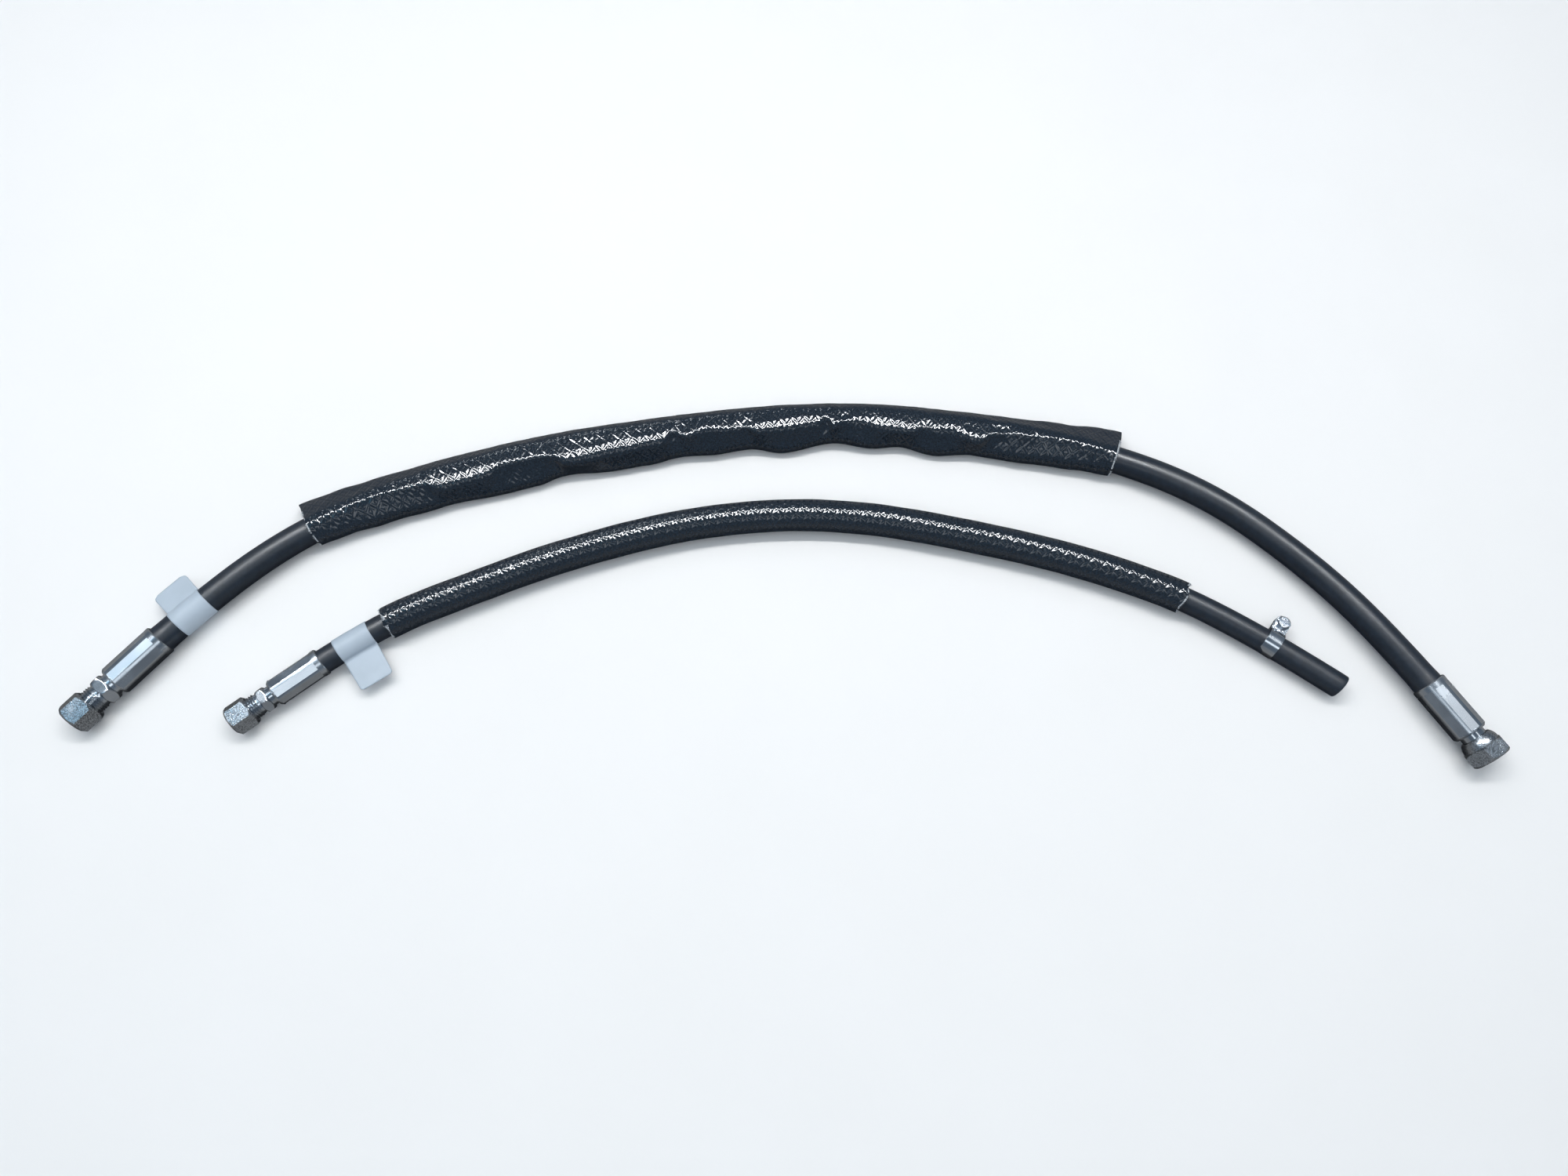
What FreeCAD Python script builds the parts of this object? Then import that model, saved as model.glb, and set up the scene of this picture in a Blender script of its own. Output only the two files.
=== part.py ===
import FreeCAD, Part
import math
import os

import Sketcher
from FreeCAD import Placement, Rotation, Vector

# Driving dimensions, in millimetres. Radii are nominal; the gaps are real clearances.
SIZES = {
    # Hose of the supply line, 10 mm bore
    "supply_hose_radius": 8.5,
    "supply_cover_wall": 1.9,
    "supply_braid_wall": 0.6,
    "supply_liner_wall": 1.0,
    # Hose of the return line, 8 mm bore
    "return_hose_radius": 7.5,
    "return_cover_wall": 1.8,
    "return_braid_wall": 0.6,
    "return_liner_wall": 1.1,
    # Heat sleeves of coated glass fibre
    "sleeve_wall": 1.2,
    "sleeve_hose_gap": 0.3,
    "sleeve_slack": 0.8,
    "sleeve_fold_drop": 1.6,
    "supply_sleeve_start": 107.0,
    "supply_sleeve_length": 518.0,
    "return_sleeve_start": 42.8,
    "return_sleeve_to_clip": 57.2,
    "return_sleeve_slack": 1.0,
    # Flag labels
    "label_length": 22.0,
    "label_thickness": 0.3,
    "supply_label_middle": 23.0,
    "supply_flag_reach": 16.5,
    "supply_flag_corner": 3.0,
    "return_label_middle": 21.3,
    "return_flag_reach": 21.5,
    "return_flag_corner": 2.0,
    # Crimped ferrules
    "supply_ferrule_wall": 1.4,
    "supply_ferrule_length": 35.0,
    "supply_ferrule_lip": 2.6,
    "supply_tooth_depth": 0.5,
    "return_ferrule_wall": 1.1,
    "return_ferrule_length": 32.6,
    "return_ferrule_lip": 2.2,
    "return_tooth_depth": 0.4,
    "ferrule_bevel": 1.0,
    "ferrule_flare": 0.4,
    "crimp_line_at": 3.4,
    "crimp_line_width": 0.5,
    "crimp_depth": 0.35,
    "crimp_end_margin": 1.6,
    "stop_length": 1.2,
    "tooth_start": 5.0,
    "tooth_pitch": 5.6,
    "tooth_groove": 3.4,
    "tooth_end_margin": 2.0,
    # Hose tails inside the hoses
    "tail_tip_at": 1.0,
    "tail_tip_taper": 1.2,
    "barb_depth": 0.45,
    "barb_pitch": 5.4,
    "supply_tail_bore": 3.5,
    "return_tail_bore": 2.75,
    "supply_lock_radius": 5.4,
    "supply_stop_radius": 6.4,
    "return_lock_radius": 4.4,
    "return_stop_radius": 5.3,
    # Compression fitting on the left end of the supply line: M16 x 1.5 for a 10 mm pipe
    "supply_neck_length": 2.4,
    "supply_neck_radius": 7.2,
    "supply_hex_flat": 8.5,
    "supply_hex_length": 7.0,
    "supply_stud_length": 11.0,
    "supply_thread_radius": 8.0,
    "supply_pipe_bore": 5.05,
    "supply_cone_radius": 6.15,
    "supply_nut_flat": 9.5,
    "supply_nut_length": 14.5,
    "supply_nut_standoff": 7.5,
    "supply_ring_radius": 6.7,
    # Compression fitting on the left end of the return line: M14 x 1.5 for an 8 mm pipe
    "return_neck_length": 2.9,
    "return_neck_radius": 6.0,
    "return_hex_flat": 7.0,
    "return_hex_length": 5.5,
    "return_stud_length": 11.0,
    "return_thread_radius": 7.0,
    "return_pipe_bore": 4.05,
    "return_cone_radius": 5.15,
    "return_nut_flat": 8.5,
    "return_nut_length": 13.5,
    "return_nut_standoff": 6.5,
    "return_ring_radius": 5.7,
    # Shared by both compression fittings
    "pipe_socket_depth": 4.0,
    "stud_relief_width": 1.2,
    "stud_relief_depth": 0.9,
    "thread_gap": 0.05,
    "nut_thread_depth": 9.3,
    "nut_cone_inset": 0.4,
    "nut_pipe_gap": 0.1,
    "ring_seat_gap": 0.12,
    "ring_wall": 0.25,
    "ring_rear_wall": 0.7,
    "ring_step_at": 8.2,
    "ring_nose_length": 4.2,
    # Swivel end of the supply line: M18 x 1.5 with a 24 degree sealing nose
    "swivel_collar_radius": 7.1,
    "swivel_collar_length": 3.0,
    "swivel_neck_radius": 6.3,
    "swivel_nose_radius": 7.6,
    "swivel_nose_length": 4.4,
    "swivel_running_gap": 0.08,
    "swivel_end_gap": 0.3,
    "swivel_nut_flat": 11.0,
    "swivel_nut_length": 14.5,
    "swivel_hex_length": 8.0,
    "swivel_dome_radius": 8.6,
    "swivel_dome_curve": 9.0,
    "swivel_shoulder_radius": 10.5,
    "swivel_shoulder_run": 1.2,
    "swivel_lip_length": 2.2,
    "swivel_thread_radius": 9.0,
    "swivel_thread_length": 6.4,
    "swivel_relief_depth": 0.35,
    "seal_section": 0.75,
    "seal_groove_radius": 5.8,
    "seal_groove_width": 1.7,
    "seal_gap": 0.02,
    # Bolt clip on the cut end of the return line
    "clip_from_end": 46.5,
    "clip_band_width": 9.0,
    "clip_band_wall": 0.7,
    "clip_hose_gap": 0.3,
    "clip_ear_reach": 10.0,
    "clip_ear_wall": 0.9,
    "clip_ear_gap": 3.6,
    "clip_ear_corner": 3.4,
    "clip_screw_out": 5.6,
    "clip_screw_radius": 2.0,
    "clip_screw_length": 10.0,
    "clip_screw_gap": 0.2,
    "clip_head_radius": 4.0,
    "clip_head_height": 2.4,
    "clip_slot_width": 1.2,
    "clip_slot_depth": 1.1,
    "clip_nut_flat": 3.5,
    "clip_nut_height": 3.2,
    "clip_seat_gap": 0.05,
    # Clearances that hold for every joint of hose and metal
    "bond_gap": 0.03,
    "face_gap": 0.1,
    # Under the lowest corner of each nut as it turns
    "lying_gap": 0.03,
}

# How far each piece of a fitting is turned about its own axis, in degrees.
TURNS = {
    "supply_gland_ferrule": -9.5, "supply_gland_stem": -6.0, "supply_gland_nut": -13.0,
    "supply_swivel_ferrule": 10.0, "swivel_nut": 3.0,
    "return_gland_ferrule": -27.0, "return_gland_stem": -1.0, "return_gland_nut": -8.0,
}

CORNER_PER_FLAT = 2 / math.sqrt(3)
CONE_SLOPE = math.tan(math.radians(12))
# Chamfers of the hexagons: where each starts on the face, as a share of half the width across
# flats, and its run along the axis for each unit of radius.
CHAMFERS = {"stud": (0.94, 0.9), "end": (0.86, 0.75)}
CORNER_MARGIN = 1.0
CRIMP_COUNT = 8
ARC_SHARE = 0.45

# Control points of the two hoses, chosen by hand along the photographed lines. Each route
# starts at the hose's end inside the left ferrule.
SUPPLY_ROUTE = [
    (-390.0, -64.0), (-349.7, -16.9), (-295.3, 30.0), (-235.3, 58.5), (-158.3, 83.5),
    (-89.3, 96.0), (-16.3, 106.0), (55.7, 109.0), (129.7, 100.0), (200.7, 85.0),
    (268.7, 56.0), (326.2, 6.5), (364.8, -42.7), (398.4, -94.7),
]
RETURN_ROUTE = [
    (-294.8, -71.7), (-245.9, -33.5), (-189.3, -8.5), (-129.3, 15.5), (-49.3, 37.5),
    (33.7, 42.5), (114.7, 28.0), (192.7, 8.0), (267.1, -22.7), (331.8, -69.7),
]

# Folds of the loose supply sleeve: the distance along it, then how much further its cloth
# reaches than where it is narrowest, to the outer and to the inner side of the bend.
SLEEVE_FOLDS = [
    (0.0, 11.2, 0.0), (20.0, 8.2, 1.8), (42.0, 5.2, 4.2), (80.0, 2.4, 6.0), (121.0, 1.0, 9.0),
    (142.0, 0.6, 8.8), (161.0, 0.2, 6.2), (192.0, 0.0, 8.3), (214.0, 0.0, 7.9),
    (237.0, 0.0, 5.6), (258.0, 0.0, 6.8), (280.0, 0.0, 5.4), (303.0, 0.0, 9.4),
    (338.0, 0.0, 4.4), (361.0, 0.0, 7.2), (381.0, 0.0, 5.4), (404.0, 0.2, 8.4),
    (429.0, 0.8, 5.0), (454.0, 2.0, 5.2), (484.0, 5.2, 3.6), (507.0, 9.8, 1.0),
    (518.0, 11.4, 0.0),
]
FOLD_EDGE_SLOPE = 0.33

document = FreeCAD.newDocument("HoseAssembly")
sheet = document.addObject("Spreadsheet::Sheet", "Sizes")
for row, (alias, number) in enumerate(SIZES.items(), start=1):
    sheet.set(f"A{row}", alias)
    sheet.set(f"B{row}", str(number))
    sheet.setAlias(f"B{row}", alias)
document.recompute()
sub_parts = []


class Size:
    """A number together with the spreadsheet expression that gives it."""

    def __init__(self, value, text):
        self.value = value
        self.text = text

    def __add__(self, other):
        other = as_size(other)
        return Size(self.value + other.value, f"({self.text} + {other.text})")

    def __sub__(self, other):
        other = as_size(other)
        return Size(self.value - other.value, f"({self.text} - {other.text})")

    def __mul__(self, factor):
        factor = as_size(factor)
        return Size(self.value * factor.value, f"({self.text} * {factor.text})")

    def __truediv__(self, factor):
        factor = as_size(factor)
        return Size(self.value / factor.value, f"({self.text} / {factor.text})")

    def __neg__(self):
        return Size(-self.value, f"(0 - {self.text})")


def as_size(number):
    """A Size for a plain number, or the Size itself."""
    if isinstance(number, Size):
        return number
    return Size(float(number), repr(float(number)))


def dim(alias):
    """The driving dimension of that name."""
    return Size(float(SIZES[alias]), f"Sizes.{alias}")


def bore_radius(line):
    """Bore of a line's hose, inside its three layers."""
    return (dim(f"{line}_hose_radius") - dim(f"{line}_cover_wall")
            - dim(f"{line}_braid_wall") - dim(f"{line}_liner_wall"))


# Sketches and features

def new_body(label, place):
    """A body in its place, turned about its own axis as far as TURNS says."""
    body = document.addObject("PartDesign::Body", label)
    body.Label = label
    turn = Rotation(Vector(1, 0, 0), TURNS.get(label, 0.0))
    body.Placement = place.multiply(Placement(Vector(), turn))
    sub_parts.append(body)
    return body


def lay_sketch(body, plane, level):
    """A sketch on one of the body's own origin planes, raised by level."""
    sketch = body.newObject("Sketcher::SketchObject", f"{body.Name}_sketch")
    origin_plane = [item for item in body.Origin.OriginFeatures if item.Role == plane][0]
    sketch.AttachmentSupport = (origin_plane, [""])
    sketch.MapMode = "FlatFace"
    if level is not None:
        sketch.AttachmentOffset = Placement(Vector(0, 0, level.value), Rotation())
        sketch.setExpression("AttachmentOffset.Base.z", level.text)
    return sketch


def bind(sketch, constraints):
    """Adds the constraints at once, then binds each that has a Size to the sheet."""
    first = sketch.ConstraintCount
    sketch.addConstraint([constraint for constraint, size in constraints])
    for index, (constraint, size) in enumerate(constraints):
        if size is not None:
            sketch.setExpression(f"Constraints[{first + index}]", size.text)


def pin_point(geometry, spot, x, y):
    """Constraints that hold a point at x, y."""
    pins = []
    for kind, axis, size in (("DistanceX", -2, x), ("DistanceY", -1, y)):
        if abs(size.value) < 1e-9:
            pins.append((Sketcher.Constraint("PointOnObject", geometry, spot, axis), None))
        else:
            pins.append((Sketcher.Constraint(kind, -1, 1, geometry, spot, size.value), size))
    return pins


def add_outline(sketch, corners):
    """A closed outline. A corner is x, y, or x, y, radius where an arc leaves it that
    bends to the right of the way round."""
    count = len(corners)
    corners = [tuple(as_size(number) for number in corner) for corner in corners]
    spots = [Vector(corner[0].value, corner[1].value, 0) for corner in corners]
    first = sketch.GeometryCount
    ends = []
    for index, corner in enumerate(corners):
        start, finish = spots[index], spots[(index + 1) % count]
        if len(corner) == 3:
            chord = finish - start
            rise = math.sqrt(corner[2].value ** 2 - (chord.Length / 2) ** 2)
            across = Vector(chord.y, -chord.x, 0).normalize()
            centre = (start + finish) * 0.5 + across * rise
            circle = Part.Circle(centre, Vector(0, 0, 1), corner[2].value)
            angles = [math.atan2(spot.y - centre.y, spot.x - centre.x)
                      for spot in (finish, start)]
            sketch.addGeometry(Part.ArcOfCircle(circle, *angles), False)
            ends.append((2, 1))
        else:
            sketch.addGeometry(Part.LineSegment(start, finish), False)
            ends.append((1, 2))
    constraints = []
    for index in range(count):
        following = (index + 1) % count
        constraints.append((Sketcher.Constraint(
            "Coincident", first + index, ends[index][1],
            first + following, ends[following][0]), None))
    for index, corner in enumerate(corners):
        constraints += pin_point(first + index, ends[index][0], corner[0], corner[1])
        if len(corner) == 3:
            constraints.append((Sketcher.Constraint(
                "Radius", first + index, corner[2].value), corner[2]))
    bind(sketch, constraints)


def add_circle(sketch, radius, x=0, y=0):
    radius, x, y = as_size(radius), as_size(x), as_size(y)
    first = sketch.GeometryCount
    circle = Part.Circle(Vector(x.value, y.value, 0), Vector(0, 0, 1), radius.value)
    sketch.addGeometry(circle, False)
    constraints = [(Sketcher.Constraint("Radius", first, radius.value), radius)]
    bind(sketch, constraints + pin_point(first, 3, x, y))


def polygon(flat, sides):
    """Corners of a regular polygon with a flat at the top, from its half width."""
    reach = flat / math.cos(math.pi / sides)
    turns = [math.pi / sides * (2 * index + 1) for index in range(sides)]
    return [(reach * math.sin(turn), reach * math.cos(turn)) for turn in turns]


def add_feature(body, kind, sketch):
    feature = body.newObject(f"PartDesign::{kind}", f"{body.Name}_{kind}")
    feature.Profile = sketch
    return feature


def turn_feature(body, kind, corners, axis="H_Axis", plane="XY_Plane"):
    """A Revolution or a Groove of one outline about an axis of its sketch."""
    sketch = lay_sketch(body, plane, None)
    add_outline(sketch, corners)
    feature = add_feature(body, kind, sketch)
    feature.ReferenceAxis = (sketch, [axis])
    feature.Angle = 360
    return feature


def along_feature(body, kind, sketch, length):
    """A Pad or a Pocket that runs from its sketch along the sketch's normal."""
    length = as_size(length)
    feature = add_feature(body, kind, sketch)
    feature.Length = length.value
    feature.setExpression("Length", length.text)
    feature.Reversed = kind == "Pocket"
    return feature


def hex_pad(body, flat, start, length, plane="YZ_Plane"):
    sketch = lay_sketch(body, plane, start)
    add_outline(sketch, polygon(flat, 6))
    return along_feature(body, "Pad", sketch, length)


def hex_chamfer(body, flat, face, inward, cut="stud"):
    """Turns the six corners off one face of a hexagon. Inward is 1 or -1 along X."""
    share, slope = CHAMFERS[cut]
    outer = flat * CORNER_PER_FLAT + CORNER_MARGIN
    inner = flat * share
    run = (outer - inner) * slope
    turn_feature(body, "Groove", [
        (face - as_size(CORNER_MARGIN * inward), inner),
        (face, inner),
        (face + run * inward, outer),
        (face - as_size(CORNER_MARGIN * inward), outer),
    ])


# Hose routes

def tangent_arcs(route):
    """Edges of a route: straight runs joined by tangent arcs, and the arcs' radii."""
    edges = []
    radii = []
    start = route[0]
    for before, corner, after in zip(route, route[1:], route[2:]):
        arriving, leaving = corner - before, after - corner
        setback = ARC_SHARE * min(arriving.Length, leaving.Length)
        half_turn = arriving.getAngle(leaving) / 2
        radius = setback / math.tan(half_turn)
        arc_start = corner - arriving.normalize() * setback
        arc_end = corner + leaving.normalize() * setback
        inward = (leaving - arriving).normalize()
        middle = corner + inward * (radius / math.cos(half_turn) - radius)
        edges.append(Part.LineSegment(start, arc_start).toShape())
        edges.append(Part.Arc(arc_start, middle, arc_end).toShape())
        radii.append(radius)
        start = arc_end
    edges.append(Part.LineSegment(start, route[-1]).toShape())
    return edges, radii


def stretch(edges, start, finish):
    """The wire between two distances along the edges."""
    kept = []
    gone = 0.0
    for edge in edges:
        low, high = max(start - gone, 0.0), min(finish - gone, edge.Length)
        if high - low > 1e-6:
            first, last = edge.getParameterByLength(low), edge.getParameterByLength(high)
            kept.append(edge.Curve.toShape(first, last))
        gone += edge.Length
    return Part.Wire(kept)


def place_at(edges, distance):
    """A frame on the route: X along it, Y level to its left, Z up."""
    gone = 0.0
    for edge in edges:
        if distance <= gone + edge.Length or edge is edges[-1]:
            parameter = edge.getParameterByLength(min(distance - gone, edge.Length))
            spot = edge.valueAt(parameter)
            way = edge.tangentAt(parameter)
            heading = math.degrees(math.atan2(way.y, way.x))
            return Placement(spot, Rotation(Vector(0, 0, 1), heading))
        gone += edge.Length


def tube_along(wire, outer, inner):
    """A tube of round section that follows a wire."""
    spot = wire.OrderedEdges[0].valueAt(wire.OrderedEdges[0].FirstParameter)
    way = wire.OrderedEdges[0].tangentAt(wire.OrderedEdges[0].FirstParameter)
    discs = [Part.Face(Part.Wire(Part.Circle(spot, way, radius).toShape()))
             for radius in (outer, inner)]
    section = discs[0].cut(discs[1]).Faces[0]
    tube = wire.makePipe(section)
    expected = section.Area * wire.Length
    if abs(tube.Volume / expected - 1) > 0.002:
        raise ValueError(f"tube volume {tube.Volume:.0f} is not section times length {expected:.0f}")
    return tube


def add_shape(label, shape, rise=0.0):
    """A sub-part whose shape is computed from the sheet's values."""
    sub_part = document.addObject("Part::Feature", label)
    sub_part.Label = label
    sub_part.Shape = shape
    sub_part.Placement = Placement(Vector(0, 0, rise), Rotation())
    sub_parts.append(sub_part)


def hose(line, edges):
    """Rubber cover, braid and liner of one hose."""
    wire = Part.Wire(edges)
    gap = SIZES["bond_gap"]
    outer = SIZES[f"{line}_hose_radius"]
    for layer in ("cover", "braid", "liner"):
        inner = outer - SIZES[f"{line}_{layer}_wall"]
        seam = 0.0 if layer == "liner" else gap
        add_shape(f"{line}_hose_{layer}", tube_along(wire, outer, inner + seam))
        outer = inner
    print(f"{line} hose: {wire.Length:.1f} mm long, bore {2 * outer:.1f} mm")


def hose_insertion(line):
    """How far a hose reaches into its ferrule: up to the stop behind the ferrule's lip."""
    return (dim(f"{line}_ferrule_length") - dim(f"{line}_ferrule_lip")
            - dim("stop_length") - dim("face_gap") * 2)


def end_place(tip, beside, inset):
    """Frame on the straight end of a hose, so far before its tip. X points out of it."""
    outward = (tip - beside).normalize()
    heading = math.degrees(math.atan2(outward.y, outward.x))
    return Placement(tip - outward * inset, Rotation(Vector(0, 0, 1), heading))


# Ferrules and hose tails

def copies(room, length, pitch):
    """How many copies of a length fit into the room at that pitch."""
    return 1 + int((room.value - length.value) / pitch.value)


def ferrule(label, line, place):
    """Crimped steel shell with gripping teeth inside and eight crimp flats outside."""
    body = new_body(label, place)
    length = dim(f"{line}_ferrule_length")
    outer = dim(f"{line}_hose_radius") + dim(f"{line}_ferrule_wall")
    inner = dim(f"{line}_hose_radius") + dim("bond_gap")
    tooth = dim(f"{line}_tooth_depth")
    bevel, flare = dim("ferrule_bevel"), dim("ferrule_flare")
    line_at, line_width = dim("crimp_line_at"), dim("crimp_line_width")
    lip_at = length - dim(f"{line}_ferrule_lip")
    lip_radius = dim(f"{line}_lock_radius") + dim("bond_gap")
    corners = [
        (0, outer - bevel * 0.6), (bevel * 0.6, outer),
        (line_at, outer), (line_at, outer - dim("crimp_depth")),
        (line_at + line_width, outer - dim("crimp_depth")), (line_at + line_width, outer),
        (length - bevel * 1.2, outer), (length, outer - bevel),
        (length, lip_radius), (lip_at, lip_radius), (lip_at, inner),
    ]
    teeth = copies(hose_insertion(line) - dim("tooth_end_margin") - dim("tooth_start"),
                   dim("tooth_groove"), dim("tooth_pitch"))
    for index in reversed(range(teeth)):
        start = dim("tooth_start") + dim("tooth_pitch") * index
        finish = start + dim("tooth_groove")
        corners += [(finish, inner), (finish - tooth, inner + tooth),
                    (start + tooth, inner + tooth), (start, inner)]
    corners += [(flare, inner), (0, inner + flare)]
    turn_feature(body, "Revolution", corners)
    sketch = lay_sketch(body, "YZ_Plane", line_at + line_width)
    add_circle(sketch, outer + CORNER_MARGIN)
    add_outline(sketch, polygon(outer - dim("crimp_depth"), CRIMP_COUNT))
    crimped = length - dim("crimp_end_margin") - line_at - line_width
    along_feature(body, "Pocket", sketch, crimped)


def tail_profile(line):
    """Outside of a hose tail, from its tip to the groove that the ferrule locks into."""
    crest = bore_radius(line) - dim("bond_gap")
    root = crest - dim("barb_depth")
    tip, taper = dim("tail_tip_at"), dim("tail_tip_taper")
    stop_at = hose_insertion(line) + dim("face_gap")
    lock_at = dim(f"{line}_ferrule_length") - dim(f"{line}_ferrule_lip") - dim("face_gap")
    corners = [(tip, root - taper * 0.3), (tip + taper, root)]
    barb = dim("barb_pitch") * 0.7
    fall = dim("barb_depth") * 0.3
    barbs = copies(stop_at - tip - taper, barb + fall, dim("barb_pitch"))
    for index in range(barbs):
        start = tip + taper + dim("barb_pitch") * index
        finish = start + barb
        corners += [(finish, crest), (finish + fall, root)]
        if index < barbs - 1:
            corners.append((start + dim("barb_pitch"), root))
    corners += [
        (stop_at, root), (stop_at, dim(f"{line}_stop_radius")),
        (lock_at, dim(f"{line}_stop_radius")), (lock_at, dim(f"{line}_lock_radius")),
        (dim(f"{line}_ferrule_length") + dim("face_gap"), dim(f"{line}_lock_radius")),
    ]
    return corners


# Compression fittings with a 24 degree cone

def gland_lengths(line):
    """Distances from the ferrule's mouth to the hexagon, the stud and its end."""
    hex_start = dim(f"{line}_ferrule_length") + dim(f"{line}_neck_length")
    hex_end = hex_start + dim(f"{line}_hex_length")
    stud_end = hex_end + dim(f"{line}_stud_length")
    return hex_start, hex_end, stud_end


def gland_stem(line, place):
    """Hose tail, hexagon and threaded stud in one piece, coned to take a cutting ring."""
    body = new_body(f"{line}_gland_stem", place)
    hex_start, hex_end, stud_end = gland_lengths(line)
    neck = dim(f"{line}_neck_radius")
    thread = dim(f"{line}_thread_radius")
    relief = thread - dim("stud_relief_depth")
    relief_end = hex_end + dim("stud_relief_width")
    bevel = dim("stud_relief_depth")
    hex_pad(body, dim(f"{line}_hex_flat"), hex_start, dim(f"{line}_hex_length"))
    neck_start = dim(f"{line}_ferrule_length") + dim("face_gap")
    turn_feature(body, "Revolution", tail_profile(line) + [
        (neck_start, neck), (hex_start + dim("face_gap"), neck),
        (hex_start + dim("face_gap"), relief), (relief_end, relief),
        (relief_end + bevel * 0.5, thread), (stud_end - bevel, thread),
        (stud_end, thread - bevel), (stud_end, 0), (dim("tail_tip_at"), 0),
    ])
    bore, pipe = dim(f"{line}_tail_bore"), dim(f"{line}_pipe_bore")
    mouth = dim(f"{line}_cone_radius")
    cone_start = stud_end - (mouth - pipe) / CONE_SLOPE
    socket_start = cone_start - dim("pipe_socket_depth")
    turn_feature(body, "Groove", [
        (0, 0), (0, bore), (socket_start, bore), (socket_start, pipe), (cone_start, pipe),
        (stud_end, mouth), (stud_end + CORNER_MARGIN, mouth), (stud_end + CORNER_MARGIN, 0),
    ])
    hex_chamfer(body, dim(f"{line}_hex_flat"), hex_start, 1)
    hex_chamfer(body, dim(f"{line}_hex_flat"), hex_end, -1)


def gland_nut(line, place):
    """Union nut: thread on the hose's side, a 45 degree seat for the ring, a pipe bore."""
    body = new_body(f"{line}_gland_nut", place)
    start = gland_lengths(line)[1] + dim(f"{line}_nut_standoff")
    finish = start + dim(f"{line}_nut_length")
    flat = dim(f"{line}_nut_flat")
    thread = dim(f"{line}_thread_radius") + dim("thread_gap")
    seat = dim(f"{line}_thread_radius") - dim("nut_cone_inset")
    pipe = dim(f"{line}_pipe_bore") + dim("nut_pipe_gap")
    seat_at = start + dim("nut_thread_depth")
    lead = dim("stud_relief_depth") * 0.6
    hex_pad(body, flat, start, dim(f"{line}_nut_length"))
    turn_feature(body, "Groove", [
        (start - CORNER_MARGIN, 0), (start - CORNER_MARGIN, thread + lead),
        (start, thread + lead), (start + lead, thread), (seat_at, thread), (seat_at, seat),
        (seat_at + seat - pipe, pipe), (finish - lead, pipe), (finish, pipe + lead),
        (finish + CORNER_MARGIN, pipe + lead), (finish + CORNER_MARGIN, 0),
    ])
    hex_chamfer(body, flat, start, 1)
    hex_chamfer(body, flat, finish, -1, "end")


def cutting_ring(line, place):
    """Ring that bites the pipe: a 24 degree nose and a 45 degree shoulder."""
    body = new_body(f"{line}_cutting_ring", place)
    start = gland_lengths(line)[1] + dim(f"{line}_nut_standoff")
    seat = dim(f"{line}_thread_radius") - dim("nut_cone_inset")
    seat_at = start + dim("nut_thread_depth") - dim("ring_seat_gap")
    pipe = dim(f"{line}_pipe_bore")
    outer = dim(f"{line}_ring_radius")
    tip_radius = pipe + dim("ring_wall")
    rear_radius = pipe + dim("ring_rear_wall")
    step_at = start + dim("ring_step_at")
    nose_tip = step_at - dim("ring_nose_length")
    nose_radius = tip_radius + dim("ring_nose_length") * CONE_SLOPE
    shoulder_at = seat_at + seat - outer
    rear_at = seat_at + seat - rear_radius
    turn_feature(body, "Revolution", [
        (nose_tip, pipe), (nose_tip, tip_radius), (step_at, nose_radius), (step_at, outer),
        (shoulder_at, outer), (rear_at, rear_radius), (rear_at, pipe),
    ])


# Swivel end

def swivel_lengths():
    """Distances from the ferrule's mouth to the nut, its lip's end and the nose's tip."""
    nut_start = (dim("supply_ferrule_length") + dim("face_gap")
                 + dim("swivel_collar_length") + dim("swivel_end_gap"))
    lip_end = nut_start + dim("swivel_lip_length")
    flare = dim("swivel_nose_radius") - dim("swivel_neck_radius")
    nose_start = lip_end + flare
    return nut_start, lip_end, nose_start, nose_start + dim("swivel_nose_length")


def swivel_stem(place):
    """Hose tail that ends in a 24 degree sealing nose behind the swivel nut's thread."""
    body = new_body("swivel_stem", place)
    nut_start, lip_end, nose_start, nose_end = swivel_lengths()
    collar_start = dim("supply_ferrule_length") + dim("face_gap")
    collar_end = nut_start - dim("swivel_end_gap")
    neck, nose = dim("swivel_neck_radius"), dim("swivel_nose_radius")
    groove_start = nose_end - dim("seal_groove_width") - dim("seal_section")
    cone_start = nose_start + dim("seal_section")

    def cone(at):
        return nose - (at - cone_start) * CONE_SLOPE

    groove_end = groove_start + dim("seal_groove_width")
    bore = dim("supply_tail_bore")
    turn_feature(body, "Revolution", tail_profile("supply") + [
        (collar_start, dim("swivel_collar_radius")), (collar_end, dim("swivel_collar_radius")),
        (collar_end, neck), (lip_end, neck), (nose_start, nose), (cone_start, nose),
        (groove_start, cone(groove_start)), (groove_start, dim("seal_groove_radius")),
        (groove_end, dim("seal_groove_radius")), (groove_end, cone(groove_end)),
        (nose_end, cone(nose_end)), (nose_end, bore + dim("barb_depth")),
        (nose_end - dim("barb_depth"), bore), (dim("tail_tip_at"), bore),
    ])


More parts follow.
